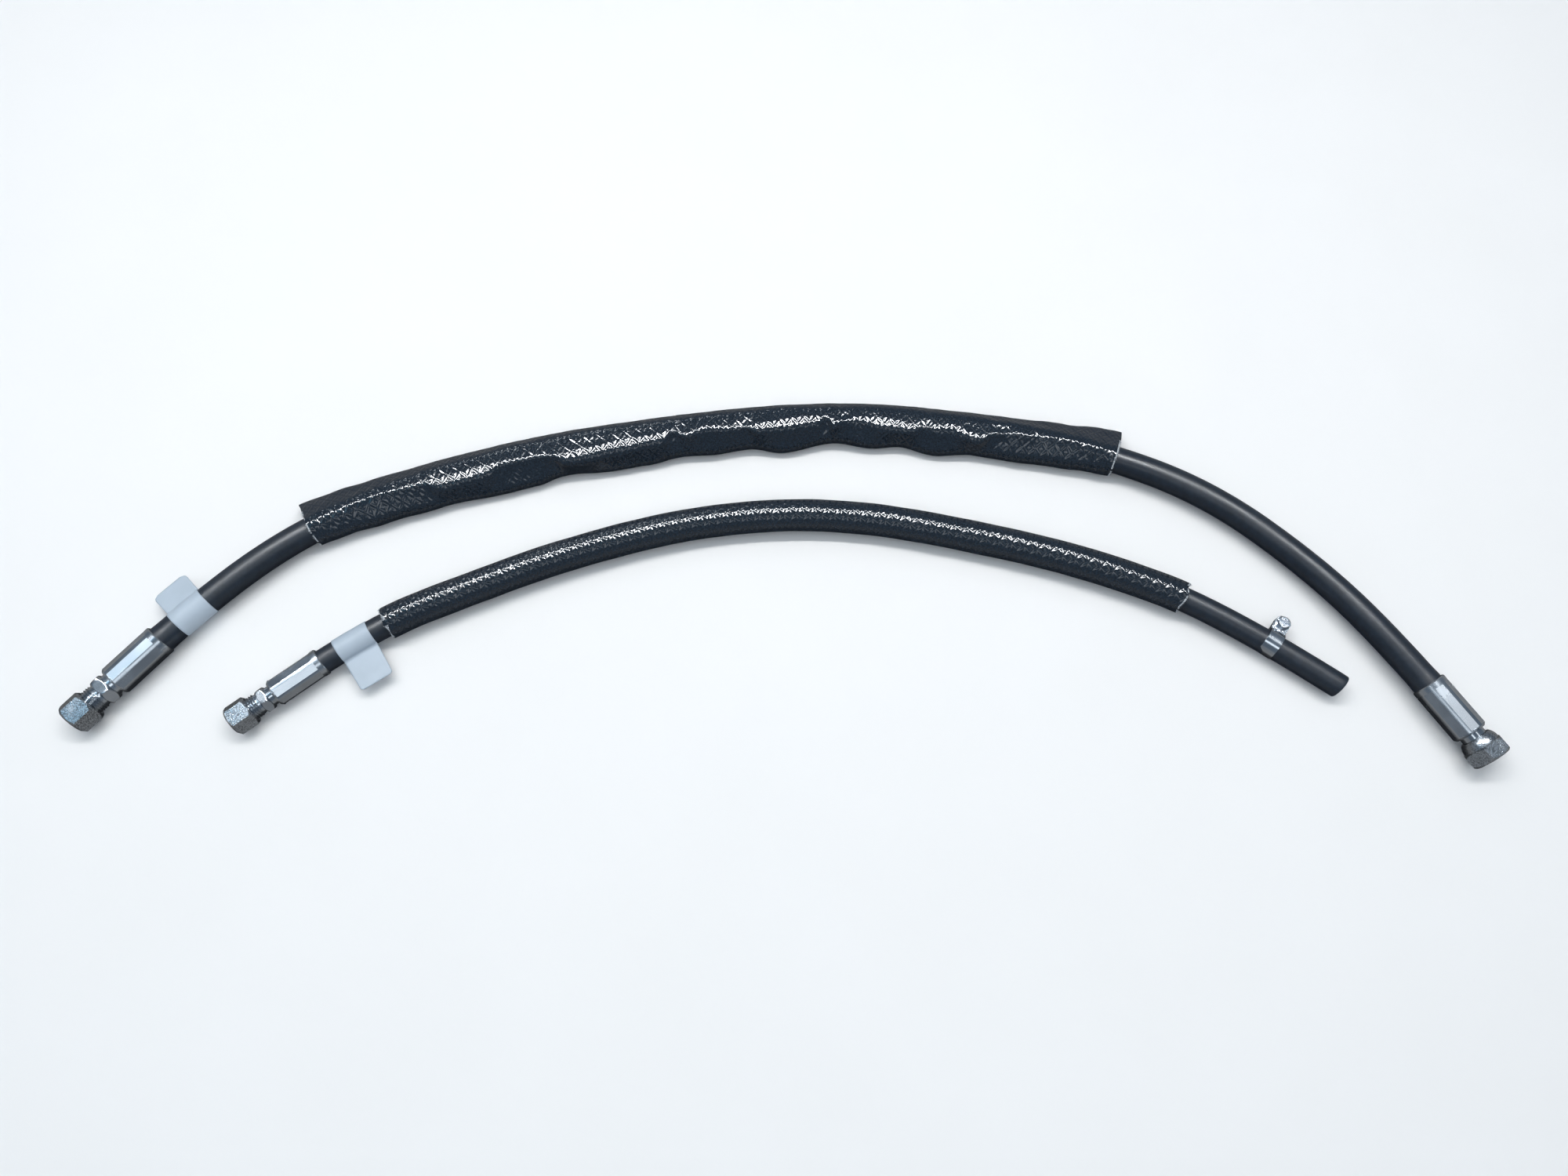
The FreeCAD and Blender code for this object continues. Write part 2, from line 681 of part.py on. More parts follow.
def swivel_nut(place):
    """Nut turned from hexagon bar: a domed shoulder, a captive lip and an inner thread."""
    body = new_body("swivel_nut", place)
    start, lip_end, nose_start, nose_end = swivel_lengths()
    finish = start + dim("swivel_nut_length")
    hex_start = finish - dim("swivel_hex_length")
    flat = dim("swivel_nut_flat")
    corner = flat * CORNER_PER_FLAT
    gap = dim("swivel_running_gap")
    lip, seat = dim("swivel_neck_radius") + gap, dim("swivel_nose_radius") + gap
    thread = dim("swivel_thread_radius")
    relief = thread + dim("swivel_relief_depth")
    thread_start = finish - dim("swivel_thread_length")
    lead = dim("swivel_relief_depth")
    hex_pad(body, flat, start, dim("swivel_nut_length"))
    turn_feature(body, "Groove", [
        (start - CORNER_MARGIN, dim("swivel_dome_radius")),
        (start, dim("swivel_dome_radius"), dim("swivel_dome_curve")),
        (hex_start - dim("swivel_shoulder_run"), dim("swivel_shoulder_radius")),
        (hex_start, corner), (hex_start, corner + CORNER_MARGIN),
        (start - CORNER_MARGIN, corner + CORNER_MARGIN),
    ])
    turn_feature(body, "Groove", [
        (start - CORNER_MARGIN, 0), (start - CORNER_MARGIN, lip), (lip_end, lip),
        (lip_end + seat - lip, seat), (nose_start + relief - seat, relief),
        (thread_start, relief), (thread_start + lead, thread), (finish - lead, thread),
        (finish, thread + lead), (finish + CORNER_MARGIN, thread + lead),
        (finish + CORNER_MARGIN, 0),
    ])
    hex_chamfer(body, flat, finish, -1)


def swivel_seal(place):
    """Rubber O-ring in the groove of the sealing nose."""
    nose_end = swivel_lengths()[3]
    section = dim("seal_section")
    middle = nose_end - section - dim("seal_groove_width") / 2
    ring_radius = dim("seal_groove_radius") + dim("seal_gap") + section
    ring = document.addObject("Part::Torus", "swivel_seal")
    ring.Label = "swivel_seal"
    ring.setExpression("Radius1", ring_radius.text)
    ring.setExpression("Radius2", section.text)
    across = Placement(Vector(middle.value, 0, 0), Rotation(Vector(0, 1, 0), 90))
    ring.Placement = place.multiply(across)
    sub_parts.append(ring)


# Heat sleeves and labels

def fold_section(frame, outer_fold, inner_fold, inset):
    """Section of the loose sleeve round the hose and its two folds, flat underneath."""
    wall = SIZES["sleeve_wall"]
    body_radius = SIZES["supply_hose_radius"] + SIZES["sleeve_hose_gap"] + wall
    narrowest = body_radius + SIZES["sleeve_slack"]
    widest_fold = narrowest - SIZES["sleeve_fold_drop"]
    folds = []
    for fold in (outer_fold, inner_fold):
        radius = widest_fold - FOLD_EDGE_SLOPE * fold
        folds.append((narrowest + fold - radius, radius))
    (left, left_radius), (right, right_radius) = folds

    def spot(y, z):
        base = frame.multVec(Vector(0, y, 0))
        return Vector(base.x, base.y, z)

    def fold_points(distance, radius, side):
        """The points of one fold from the floor round to the top of the hose."""
        upper = math.pi / 2 - 2 * math.atan2(body_radius - radius, distance)
        shrunk = radius - inset
        marks = [-math.pi / 2, -math.pi / 4, 0.0, upper / 2, upper]
        points = [spot(side * (distance + shrunk * math.cos(mark)),
                       radius + shrunk * math.sin(mark)) for mark in marks]
        points.append(spot(side * (body_radius - inset) * math.cos(upper),
                           body_radius + (body_radius - inset) * math.sin(upper)))
        return points

    outer_side = fold_points(left, left_radius, 1)
    inner_side = fold_points(right, right_radius, -1)
    crown = spot(0, 2 * body_radius - inset)
    edges = [
        Part.Arc(*outer_side[0:3]).toShape(),
        Part.Arc(*outer_side[2:5]).toShape(),
        Part.LineSegment(*outer_side[4:6]).toShape(),
        Part.Arc(outer_side[5], crown, inner_side[5]).toShape(),
        Part.LineSegment(inner_side[5], inner_side[4]).toShape(),
        Part.Arc(*inner_side[4:1:-1]).toShape(),
        Part.Arc(*inner_side[2::-1]).toShape(),
        Part.LineSegment(inner_side[0], outer_side[0]).toShape(),
    ]
    return Part.Wire(edges)


def loose_sleeve(edges):
    """Wide sleeve that lies on the surface in soft folds round the supply hose."""
    start = hose_insertion("supply").value + SIZES["supply_sleeve_start"]
    full = SLEEVE_FOLDS[-1][0]
    share = SIZES["supply_sleeve_length"] / full
    skins = []
    for inset, overrun in ((0.0, 0.0), (SIZES["sleeve_wall"], CORNER_MARGIN)):
        sections = []
        for distance, outer_fold, inner_fold in SLEEVE_FOLDS:
            along = start + distance * share
            if distance == 0.0:
                along -= overrun
            elif distance == full:
                along += overrun
            sections.append(fold_section(place_at(edges, along), outer_fold, inner_fold, inset))
        skins.append(Part.makeLoft(sections, True, False))
    add_shape("supply_heat_sleeve", skins[0].cut(skins[1]))


def snug_sleeve(edges):
    """Round sleeve round the return hose, which rests inside it on its lower wall."""
    start = hose_insertion("return").value + SIZES["return_sleeve_start"]
    finish = (Part.Wire(edges).Length - SIZES["clip_from_end"]
              - SIZES["return_sleeve_to_clip"])
    wire = stretch(edges, start, finish)
    slack = SIZES["return_sleeve_slack"]
    inner = SIZES["return_hose_radius"] + SIZES["sleeve_hose_gap"] + slack
    add_shape("return_heat_sleeve", tube_along(wire, inner + SIZES["sleeve_wall"], inner), slack)


def flag_label(line, edges, side):
    """Label wrapped once round the hose, its two ends stuck together as a flag."""
    middle = hose_insertion(line).value + SIZES[f"{line}_label_middle"]
    length, thickness = SIZES["label_length"], SIZES["label_thickness"]
    inner = SIZES[f"{line}_hose_radius"] + SIZES["bond_gap"]
    outer = inner + thickness
    wrap = tube_along(stretch(edges, middle - length / 2, middle + length / 2), outer, inner)
    flag_end = inner + SIZES[f"{line}_flag_reach"]
    flag = Part.makeBox(length, flag_end - inner - thickness / 2, 2 * thickness,
                        Vector(-length / 2, inner + thickness / 2, -thickness))
    corners = [edge for edge in flag.Edges
               if edge.Length < 3 * thickness and edge.CenterOfMass.y > flag_end - thickness]
    flag = flag.makeFillet(SIZES[f"{line}_flag_corner"], corners)
    if side < 0:
        flag.rotate(Vector(0, 0, 0), Vector(1, 0, 0), 180)
    flag.Placement = place_at(edges, middle).multiply(flag.Placement)
    add_shape(f"{line}_label", wrap.fuse(flag).removeSplitter())


# Bolt clip

def clip_band(place):
    """Steel band round the hose with two ears for the screw."""
    body = new_body("clip_band", place)
    width = dim("clip_band_width")
    inner = dim("return_hose_radius") + dim("clip_hose_gap")
    reach = inner + dim("clip_band_wall") + dim("clip_ear_reach")
    half_gap = dim("clip_ear_gap") / 2
    ear_top = half_gap + dim("clip_ear_wall")
    level = -width / 2

    def cross_sketch():
        return lay_sketch(body, "YZ_Plane", level)

    sketch = cross_sketch()
    add_circle(sketch, inner + dim("clip_band_wall"))
    along_feature(body, "Pad", sketch, width)
    sketch = cross_sketch()
    add_outline(sketch, [(0, -ear_top), (reach, -ear_top), (reach, ear_top), (0, ear_top)])
    along_feature(body, "Pad", sketch, width)
    sketch = cross_sketch()
    add_circle(sketch, inner)
    along_feature(body, "Pocket", sketch, width)
    sketch = cross_sketch()
    add_outline(sketch, [(0, -half_gap), (reach + CORNER_MARGIN, -half_gap),
                         (reach + CORNER_MARGIN, half_gap), (0, half_gap)])
    along_feature(body, "Pocket", sketch, width)
    sketch = lay_sketch(body, "XY_Plane", -(ear_top + CORNER_MARGIN))
    screw_at = inner + dim("clip_band_wall") + dim("clip_screw_out")
    add_circle(sketch, dim("clip_screw_radius") + dim("clip_screw_gap"), 0, screw_at)
    last = along_feature(body, "Pocket", sketch, (ear_top + CORNER_MARGIN) * 2)
    document.recompute()
    corners = [f"Edge{index}" for index, edge in enumerate(last.Shape.Edges, start=1)
               if abs(edge.BoundBox.YMin - reach.value) < 1e-4
               and abs(edge.Length - SIZES["clip_ear_wall"]) < 1e-4]
    rounding = body.newObject("PartDesign::Fillet", "clip_band_rounding")
    rounding.Base = (last, corners)
    rounding.setExpression("Radius", dim("clip_ear_corner").text)


def screw_place(place):
    """Frame of the clip's screw: its origin between the ears, Z along the screw."""
    out = (SIZES["return_hose_radius"] + SIZES["clip_hose_gap"] + SIZES["clip_band_wall"]
           + SIZES["clip_screw_out"])
    return place.multiply(Placement(Vector(0, out, 0), Rotation()))


def clip_screw(place):
    """Slotted cheese-head screw, its head on the upper ear."""
    body = new_body("clip_screw", place)
    head_at = dim("clip_ear_gap") / 2 + dim("clip_ear_wall") + dim("clip_seat_gap")
    top = head_at + dim("clip_head_height")
    radius, head = dim("clip_screw_radius"), dim("clip_head_radius")
    tip = head_at - dim("clip_screw_length")
    point = radius * 0.25
    turn_feature(body, "Revolution", [
        (0, tip), (radius - point, tip), (radius, tip + point), (radius, head_at),
        (head, head_at), (head, top - radius * 0.45), (head - radius * 0.4, top), (0, top),
    ], "V_Axis", "XZ_Plane")
    sketch = lay_sketch(body, "XY_Plane", top - dim("clip_slot_depth"))
    half = dim("clip_slot_width") / 2
    end = head + CORNER_MARGIN
    add_outline(sketch, [(-end, -half), (end, -half), (end, half), (-end, half)])
    along_feature(body, "Pocket", sketch, dim("clip_slot_depth") + CORNER_MARGIN)


def clip_nut(place):
    """Hexagon nut under the lower ear."""
    body = new_body("clip_nut", place)
    height = dim("clip_nut_height")
    top = -(dim("clip_ear_gap") / 2 + dim("clip_ear_wall") + dim("clip_seat_gap"))
    hex_pad(body, dim("clip_nut_flat"), top - height, height, "XY_Plane")
    sketch = lay_sketch(body, "XY_Plane", top - height)
    add_circle(sketch, dim("clip_screw_radius") + dim("thread_gap"))
    along_feature(body, "Pocket", sketch, height)


# The two lines

def hose_height(line):
    """Height of a hose's axis where it lies in its sleeve."""
    return SIZES["sleeve_wall"] + SIZES["sleeve_hose_gap"] + SIZES[f"{line}_hose_radius"]


def fitting_height(line, flat):
    """Height of a fitting's axis that keeps its turning nut and its ferrule off the surface."""
    ferrule_radius = SIZES[f"{line}_hose_radius"] + SIZES[f"{line}_ferrule_wall"]
    return max(SIZES[flat] * CORNER_PER_FLAT, ferrule_radius) + SIZES["lying_gap"]


def supply_line():
    """Upper hose: compression fitting, loose sleeve, swivel nut."""
    heights = [hose_height("supply")] * len(SUPPLY_ROUTE)
    heights[:2] = [fitting_height("supply", "supply_nut_flat")] * 2
    heights[-2:] = [fitting_height("supply", "swivel_nut_flat")] * 2
    route = [Vector(x, y, z) for (x, y), z in zip(SUPPLY_ROUTE, heights)]
    edges, radii = tangent_arcs(route)
    print("supply bend radii:", [round(radius) for radius in radii])
    hose("supply", edges)
    insertion = hose_insertion("supply").value
    near = end_place(route[0], route[1], insertion)
    far = end_place(route[-1], route[-2], insertion)
    ferrule("supply_gland_ferrule", "supply", near)
    gland_stem("supply", near)
    gland_nut("supply", near)
    cutting_ring("supply", near)
    ferrule("supply_swivel_ferrule", "supply", far)
    swivel_stem(far)
    swivel_nut(far)
    swivel_seal(far)
    loose_sleeve(edges)
    flag_label("supply", edges, 1)


def return_line():
    """Lower hose: compression fitting, snug sleeve, cut end with a bolt clip."""
    heights = [hose_height("return")] * len(RETURN_ROUTE)
    heights[:2] = [fitting_height("return", "return_nut_flat")] * 2
    route = [Vector(x, y, z) for (x, y), z in zip(RETURN_ROUTE, heights)]
    edges, radii = tangent_arcs(route)
    print("return bend radii:", [round(radius) for radius in radii])
    hose("return", edges)
    near = end_place(route[0], route[1], hose_insertion("return").value)
    ferrule("return_gland_ferrule", "return", near)
    gland_stem("return", near)
    gland_nut("return", near)
    cutting_ring("return", near)
    snug_sleeve(edges)
    flag_label("return", edges, -1)
    clip = end_place(route[-1], route[-2], SIZES["clip_from_end"])
    clip_band(clip)
    clip_screw(screw_place(clip))
    clip_nut(screw_place(clip))


def check_document():
    """Stops if a feature failed or a sub-part isn't one valid solid."""
    for item in document.Objects:
        if "Invalid" in item.State or "Error" in item.State:
            raise ValueError(f"{item.Label} failed to build")
    for item in sub_parts:
        shape = item.Shape
        if shape.isNull() or not shape.isValid() or len(shape.Solids) != 1:
            raise ValueError(f"{item.Label} is not one valid solid")


supply_line()
return_line()
document.recompute()
check_document()
os.makedirs("parts", exist_ok=True)
for item in sub_parts:
    item.Shape.exportStep(f"parts/{item.Label}.step")
print(f"{len(sub_parts)} sub-parts written")
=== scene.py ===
import math
import random
import bpy
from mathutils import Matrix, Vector, noise


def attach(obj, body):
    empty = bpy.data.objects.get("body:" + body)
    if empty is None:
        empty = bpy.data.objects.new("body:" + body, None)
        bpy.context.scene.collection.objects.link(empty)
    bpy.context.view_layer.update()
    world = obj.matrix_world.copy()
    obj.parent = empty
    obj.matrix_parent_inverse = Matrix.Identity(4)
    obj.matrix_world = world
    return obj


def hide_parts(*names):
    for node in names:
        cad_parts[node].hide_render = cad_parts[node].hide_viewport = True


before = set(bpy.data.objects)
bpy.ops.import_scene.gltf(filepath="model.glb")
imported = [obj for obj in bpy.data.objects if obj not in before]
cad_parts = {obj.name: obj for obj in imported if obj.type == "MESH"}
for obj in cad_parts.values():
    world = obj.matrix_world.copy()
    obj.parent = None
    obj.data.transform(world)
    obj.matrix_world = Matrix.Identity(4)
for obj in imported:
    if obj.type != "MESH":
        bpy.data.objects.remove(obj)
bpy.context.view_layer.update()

MM = 0.001
SCENE = bpy.context.scene

# The two hoses' control points, in metres, as in the CAD source. Each route starts at the
# hose's end inside the left ferrule.
SUPPLY_ROUTE = [
    (-0.3900, -0.0640, 0.0110), (-0.3497, -0.0169, 0.0110), (-0.2953, 0.0300, 0.0100),
    (-0.2353, 0.0585, 0.0100), (-0.1583, 0.0835, 0.0100), (-0.0893, 0.0960, 0.0100),
    (-0.0163, 0.1060, 0.0100), (0.0557, 0.1090, 0.0100), (0.1297, 0.1000, 0.0100),
    (0.2007, 0.0850, 0.0100), (0.2687, 0.0560, 0.0100), (0.3262, 0.0065, 0.0100),
    (0.3648, -0.0427, 0.01273), (0.3984, -0.0947, 0.01273),
]
RETURN_ROUTE = [
    (-0.2948, -0.0717, 0.00985), (-0.2459, -0.0335, 0.00985), (-0.1893, -0.0085, 0.0090),
    (-0.1293, 0.0155, 0.0090), (-0.0493, 0.0375, 0.0090), (0.0337, 0.0425, 0.0090),
    (0.1147, 0.0280, 0.0090), (0.1927, 0.0080, 0.0090), (0.2671, -0.0227, 0.0090),
    (0.3318, -0.0697, 0.0090),
]
SUPPLY_RADIUS = 8.5 * MM
RETURN_RADIUS = 7.5 * MM
# How far the supply hose reaches into each ferrule
SUPPLY_INSERTION = 31.0 * MM
# Where each sleeve starts, along its hose
SUPPLY_SLEEVE_START = 138 * MM
RETURN_SLEEVE_START = 71.8 * MM
SLEEVE_WALL = 1.2 * MM
# Along each hose the label's middle, then the flag's reach from the hose, its corners' radius,
# and its side, 1 for the left one
FLAGS = {
    "supply": (54 * MM, 16.5 * MM, 3 * MM, 1),
    "return": (50.3 * MM, 21.5 * MM, 2 * MM, -1),
}
# The level way that each fitting and the clip point, out of the hose's end
SUPPLY_AHEAD = (-0.650127, -0.759826, 0.0)
RETURN_AHEAD = (-0.788049, -0.615613, 0.0)
SWIVEL_AHEAD = (0.542715, -0.839917, 0.0)
CLIP_AHEAD = (0.80906, -0.587725, 0.0)
UP = Vector((0, 0, 1))
# One strand of the sleeves' braid to the next
WEAVE_PITCH = 3.925 * MM
# Distance between the rings of a tube where it shows and where it is hidden, and between the
# points of a line along each hose, which is worked out and not used
SEEN_SPACING = 2.5 * MM
HIDDEN_SPACING = 5 * MM
CORD_SPACING = 4 * MM


# Paths and swept meshes

class Path:
    """The smooth line of a route, with a level frame at any distance along it."""

    def __init__(self, route):
        curve = bpy.data.curves.new("route", "CURVE")
        curve.dimensions = "3D"
        curve.resolution_u = 48
        spline = curve.splines.new("NURBS")
        spline.points.add(len(route) - 1)
        for point, place in zip(spline.points, route):
            point.co = (*place, 1.0)
        spline.order_u = 3
        spline.use_endpoint_u = True
        holder = bpy.data.objects.new("route", curve)
        SCENE.collection.objects.link(holder)
        bpy.context.view_layer.update()
        line = bpy.data.meshes.new_from_object(holder)
        self.points = [vertex.co.copy() for vertex in line.vertices]
        bpy.data.objects.remove(holder)
        bpy.data.meshes.remove(line)
        bpy.data.curves.remove(curve)
        self.marks = [0.0]
        for before, after in zip(self.points, self.points[1:]):
            self.marks.append(self.marks[-1] + (after - before).length)
        self.length = self.marks[-1]

    def spot(self, distance):
        """The point at a distance, on the end tangent where that is past an end."""
        if distance <= 0:
            ahead = (self.points[1] - self.points[0]).normalized()
            return self.points[0] + ahead * distance
        if distance >= self.length:
            ahead = (self.points[-1] - self.points[-2]).normalized()
            return self.points[-1] + ahead * (distance - self.length)
        low, high = 0, len(self.marks) - 1
        while high - low > 1:
            middle = (low + high) // 2
            if self.marks[middle] <= distance:
                low = middle
            else:
                high = middle
        share = (distance - self.marks[low]) / (self.marks[high] - self.marks[low])
        return self.points[low].lerp(self.points[high], share)

    def frame(self, distance):
        """Place, way ahead, level way to the left, and up."""
        reach = 1.5 * MM
        ahead = (self.spot(distance + reach) - self.spot(distance - reach)).normalized()
        left = UP.cross(ahead).normalized()
        return self.spot(distance), ahead, left, ahead.cross(left)


def ring_mesh(name, rings, rows, girth=None):
    """A closed mesh through rings of as many points each, the last joined to the first. Rows
    are the rings' distances along it. Its UV map holds metres: round by the girth, along."""
    count, total = len(rings[0]), len(rings)
    vertices = [point for ring in rings for point in ring]
    faces, uvs = [], []
    girth = girth or sum((rings[0][index] - rings[0][index - 1]).length for index in range(count))
    for row in range(total):
        following = (row + 1) % total
        for column in range(count):
            beside = (column + 1) % count
            faces.append((row * count + column, row * count + beside,
                          following * count + beside, following * count + column))
            left, right = girth * column / count, girth * (column + 1) / count
            top = rows[following] if following else rows[row]
            uvs += [(left, rows[row]), (right, rows[row]), (right, top), (left, top)]
    return new_mesh(name, vertices, faces, uvs)


def new_mesh(name, vertices, faces, uvs=None):
    mesh = bpy.data.meshes.new(name)
    mesh.from_pydata([tuple(vertex) for vertex in vertices], [], faces)
    if uvs:
        layer = mesh.uv_layers.new(name="UVMap")
        layer.data.foreach_set("uv", [number for uv in uvs for number in uv])
    mesh.polygons.foreach_set("use_smooth", [True] * len(mesh.polygons))
    mesh.update()
    piece = bpy.data.objects.new(name, mesh)
    SCENE.collection.objects.link(piece)
    return piece


def smoothstep(low, high, value):
    share = min(max((value - low) / (high - low), 0.0), 1.0)
    return share * share * (3 - 2 * share)


def steps(start, finish, spacing):
    """Evenly spaced values from start to finish, about spacing apart."""
    count = max(1, round(abs(finish - start) / spacing))
    return [start + (finish - start) * index / count for index in range(count + 1)]


def swept_tube(name, path, rings, sides, shape=None):
    """A tube along a path. Each ring is a distance and a radius. Shape may move a point:
    it takes distance, angle and radius and gives the distance and radius to use."""
    placed = []
    for distance, radius in rings:
        middle, ahead, left, up = path.frame(distance)
        ring = []
        for index in range(sides):
            angle = 2 * math.pi * index / sides
            along, across = shape(distance, angle, radius) if shape else (distance, radius)
            spot = middle + ahead * (along - distance)
            ring.append(spot + left * (math.cos(angle) * across) + up * (math.sin(angle) * across))
        placed.append(ring)
    return ring_mesh(name, placed, [distance for distance, radius in rings])


def dress(piece, material, body, slot, *nodes):
    """Gives a piece its material and its body, and hides the nodes that it stands for. The slot is
    not used.
    """
    piece.data.materials.append(material)
    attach(piece, body)
    if nodes:
        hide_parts(*nodes)


# Materials

def new_material(name, color, roughness, metallic=0.0):
    material = bpy.data.materials.new(name)
    material.use_nodes = True
    nodes = material.node_tree.nodes
    shader = nodes["Principled BSDF"]
    shader.inputs["Base Color"].default_value = (*color, 1.0)
    shader.inputs["Roughness"].default_value = roughness
    shader.inputs["Metallic"].default_value = metallic
    return material


class Nodes:
    """Short names for adding and joining the nodes of a material or of the room."""

    def __init__(self, owner, shader="Principled BSDF"):
        self.tree = owner.node_tree
        self.shader = self.tree.nodes[shader]

    def add(self, kind, links=None, **settings):
        node = self.tree.nodes.new(kind)
        for name, value in settings.items():
            setattr(node, name, value)
        for name, value in (links or {}).items():
            self.feed(node.inputs[name], value)
        return node

    def feed(self, socket, value):
        if isinstance(value, bpy.types.NodeSocket):
            self.tree.links.new(value, socket)
        else:
            socket.default_value = value

    def math(self, operation, first, second=0.0):
        node = self.add("ShaderNodeMath", {0: first, 1: second}, operation=operation)
        return node.outputs[0]

    def spread(self, value, low, high, to_low=0.0, to_high=1.0):
        """A value from low to high, brought to another range."""
        links = {"Value": value, "From Min": low, "From Max": high,
                 "To Min": to_low, "To Max": to_high}
        return self.add("ShaderNodeMapRange", links).outputs["Result"]

    def noise(self, scale, detail=3.0, vector=None, roughness=0.5):
        links = {"Scale": scale, "Detail": detail, "Roughness": roughness}
        if vector:
            links["Vector"] = vector
        return self.add("ShaderNodeTexNoise", links).outputs["Fac"]

    def ramp(self, value, stops):
        node = self.add("ShaderNodeValToRGB", {"Fac": value})
        elements = node.color_ramp.elements
        while len(elements) < len(stops):
            elements.new(0.5)
        for element, (position, color) in zip(elements, stops):
            element.position = position
            parts = color if hasattr(color, "__len__") else (color, color, color)
            element.color = (*parts, 1.0)
        return node.outputs["Color"]

    def bump(self, height, distance, strength=1.0, normal=None):
        links = {"Height": height, "Distance": distance, "Strength": strength}
        if normal:
            links["Normal"] = normal
        return self.add("ShaderNodeBump", links).outputs["Normal"]

    def set(self, **sockets):
        for name, value in sockets.items():
            self.feed(self.shader.inputs[name.replace("_", " ")], value)


def object_place(nodes):
    return nodes.add("ShaderNodeTexCoord").outputs["Object"]


def skin_place(nodes):
    """Metres round a tube and along it."""
    uv = nodes.add("ShaderNodeTexCoord").outputs["UV"]
    axes = nodes.add("ShaderNodeSeparateXYZ", {"Vector": uv})
    return axes.outputs["X"], axes.outputs["Y"]


def shaded(color, share):
    """A colour made darker by a share under 1, or lighter by one over it."""
    return [part * share for part in color]


def turned_place(nodes, heading):
    """Place in the object, turned so that X runs along a piece of that heading."""
    links = {"Vector": object_place(nodes), "Rotation": (0, 0, -heading)}
    return nodes.add("ShaderNodeMapping", links, vector_type="POINT").outputs["Vector"]


def zinc(name, heading, color=(0.50, 0.54, 0.58), roughness=0.15, grain=0.3, speckle=0.0):
    """Bright zinc plating with drawn lines along the bar and, on nuts, a forged grain."""
    material = new_material(name, color, roughness, 1.0)
    nodes = Nodes(material)
    place = turned_place(nodes, heading)
    along, across = 60, 2600
    stretched = nodes.add("ShaderNodeMapping", {"Vector": place, "Scale": (along, across, across)},
                          vector_type="POINT").outputs["Vector"]
    lines = nodes.noise(1.0, 2.0, stretched)
    clouds = nodes.noise(90.0, 4.0, place)
    specks = nodes.noise(1800.0, 2.0, place)
    tint = nodes.ramp(clouds, [(0.3, shaded(color, 0.82)), (0.7, color)])
    normal = nodes.bump(lines, 0.02 * MM, grain)
    if speckle:
        dots = nodes.ramp(specks, [(0.42, 0.42), (0.50, 0.75), (0.56, 1.0)])
        speckled = nodes.add("ShaderNodeVectorMath", {0: tint, 1: dots}, operation="MULTIPLY")
        tint = speckled.outputs[0]
        normal = nodes.bump(specks, 0.16 * MM, speckle, normal)
    rough = nodes.spread(clouds, 0.25, 0.75, roughness * 0.8, roughness * 1.35)
    nodes.set(Base_Color=tint, Roughness=rough, Normal=normal)
    return material


def rubber(name, color=(0.007, 0.012, 0.020), roughness=0.38):
    """Matt hose cover with the fine imprint of the cloth it was cured in."""
    material = new_material(name, color, roughness)
    nodes = Nodes(material)
    place = object_place(nodes)
    round_way, along_way = skin_place(nodes)
    threads = 9000.0
    weave = nodes.math("MULTIPLY",
                       nodes.math("SINE", nodes.math("MULTIPLY", round_way, threads)),
                       nodes.math("SINE", nodes.math("MULTIPLY", along_way, threads)))
    dust = nodes.noise(260.0, 6.0, place, 0.65)
    clouds = nodes.noise(22.0, 3.0, place)
    tint = nodes.ramp(dust, [(0.35, color), (0.75, shaded(color, 1.9))])
    rough = nodes.spread(clouds, 0.3, 0.7, roughness - 0.06, roughness + 0.1)
    normal = nodes.bump(weave, 0.012 * MM, 0.6)
    normal = nodes.bump(dust, 0.03 * MM, 0.4, normal)
    nodes.set(Base_Color=tint, Roughness=rough, Normal=normal)
    return material


def coated_weave(name, relief=0.18 * MM, roughness=0.12):
    """Black coating over braided glass fibre: the strands stand out in the gloss."""
    color = (0.008, 0.013, 0.020)
    material = new_material(name, color, roughness)
    nodes = Nodes(material)
    place = object_place(nodes)
    drift = nodes.math("MULTIPLY", nodes.noise(140.0, 3.0, place), 0.7 * MM)
    round_way, along_way = [nodes.math("ADD", way, drift) for way in skin_place(nodes)]

    def wave(value, pitch):
        return nodes.math("SINE", nodes.math("MULTIPLY", value, 2 * math.pi / pitch))

    first = wave(nodes.math("ADD", along_way, round_way), WEAVE_PITCH)
    second = wave(nodes.math("SUBTRACT", along_way, round_way), WEAVE_PITCH)
    checks = nodes.math("MULTIPLY", wave(along_way, 2 * WEAVE_PITCH),
                        wave(round_way, 2 * WEAVE_PITCH))
    over = nodes.spread(checks, -0.15, 0.15)
    braid = nodes.math("ADD", second,
                       nodes.math("MULTIPLY", over, nodes.math("SUBTRACT", first, second)))
    lumps = nodes.noise(900.0, 1.5, place)
    height = nodes.math("ADD", nodes.math("MULTIPLY", braid, 0.5),
                        nodes.math("MULTIPLY", lumps, 0.035))
    tint = nodes.ramp(lumps, [(0.35, color), (0.8, shaded(color, 2.0))])
    rough = nodes.spread(lumps, 0.3, 0.7, roughness * 0.75, roughness * 1.4)
    nodes.set(Base_Color=tint, Roughness=rough, Normal=nodes.bump(height, relief, 0.8),
              Specular_IOR_Level=0.6)
    return material


def fibre():
    """White glass fibre where a sleeve is cut."""
    material = new_material("glass_fibre", (0.62, 0.66, 0.70), 0.6)
    nodes = Nodes(material)
    strands = nodes.noise(2600.0, 4.0, object_place(nodes))
    tint = nodes.ramp(strands, [(0.42, (0.03, 0.035, 0.045)), (0.58, (0.72, 0.76, 0.80))])
    nodes.set(Base_Color=tint, Normal=nodes.bump(strands, 0.2 * MM, 0.8))
    return material


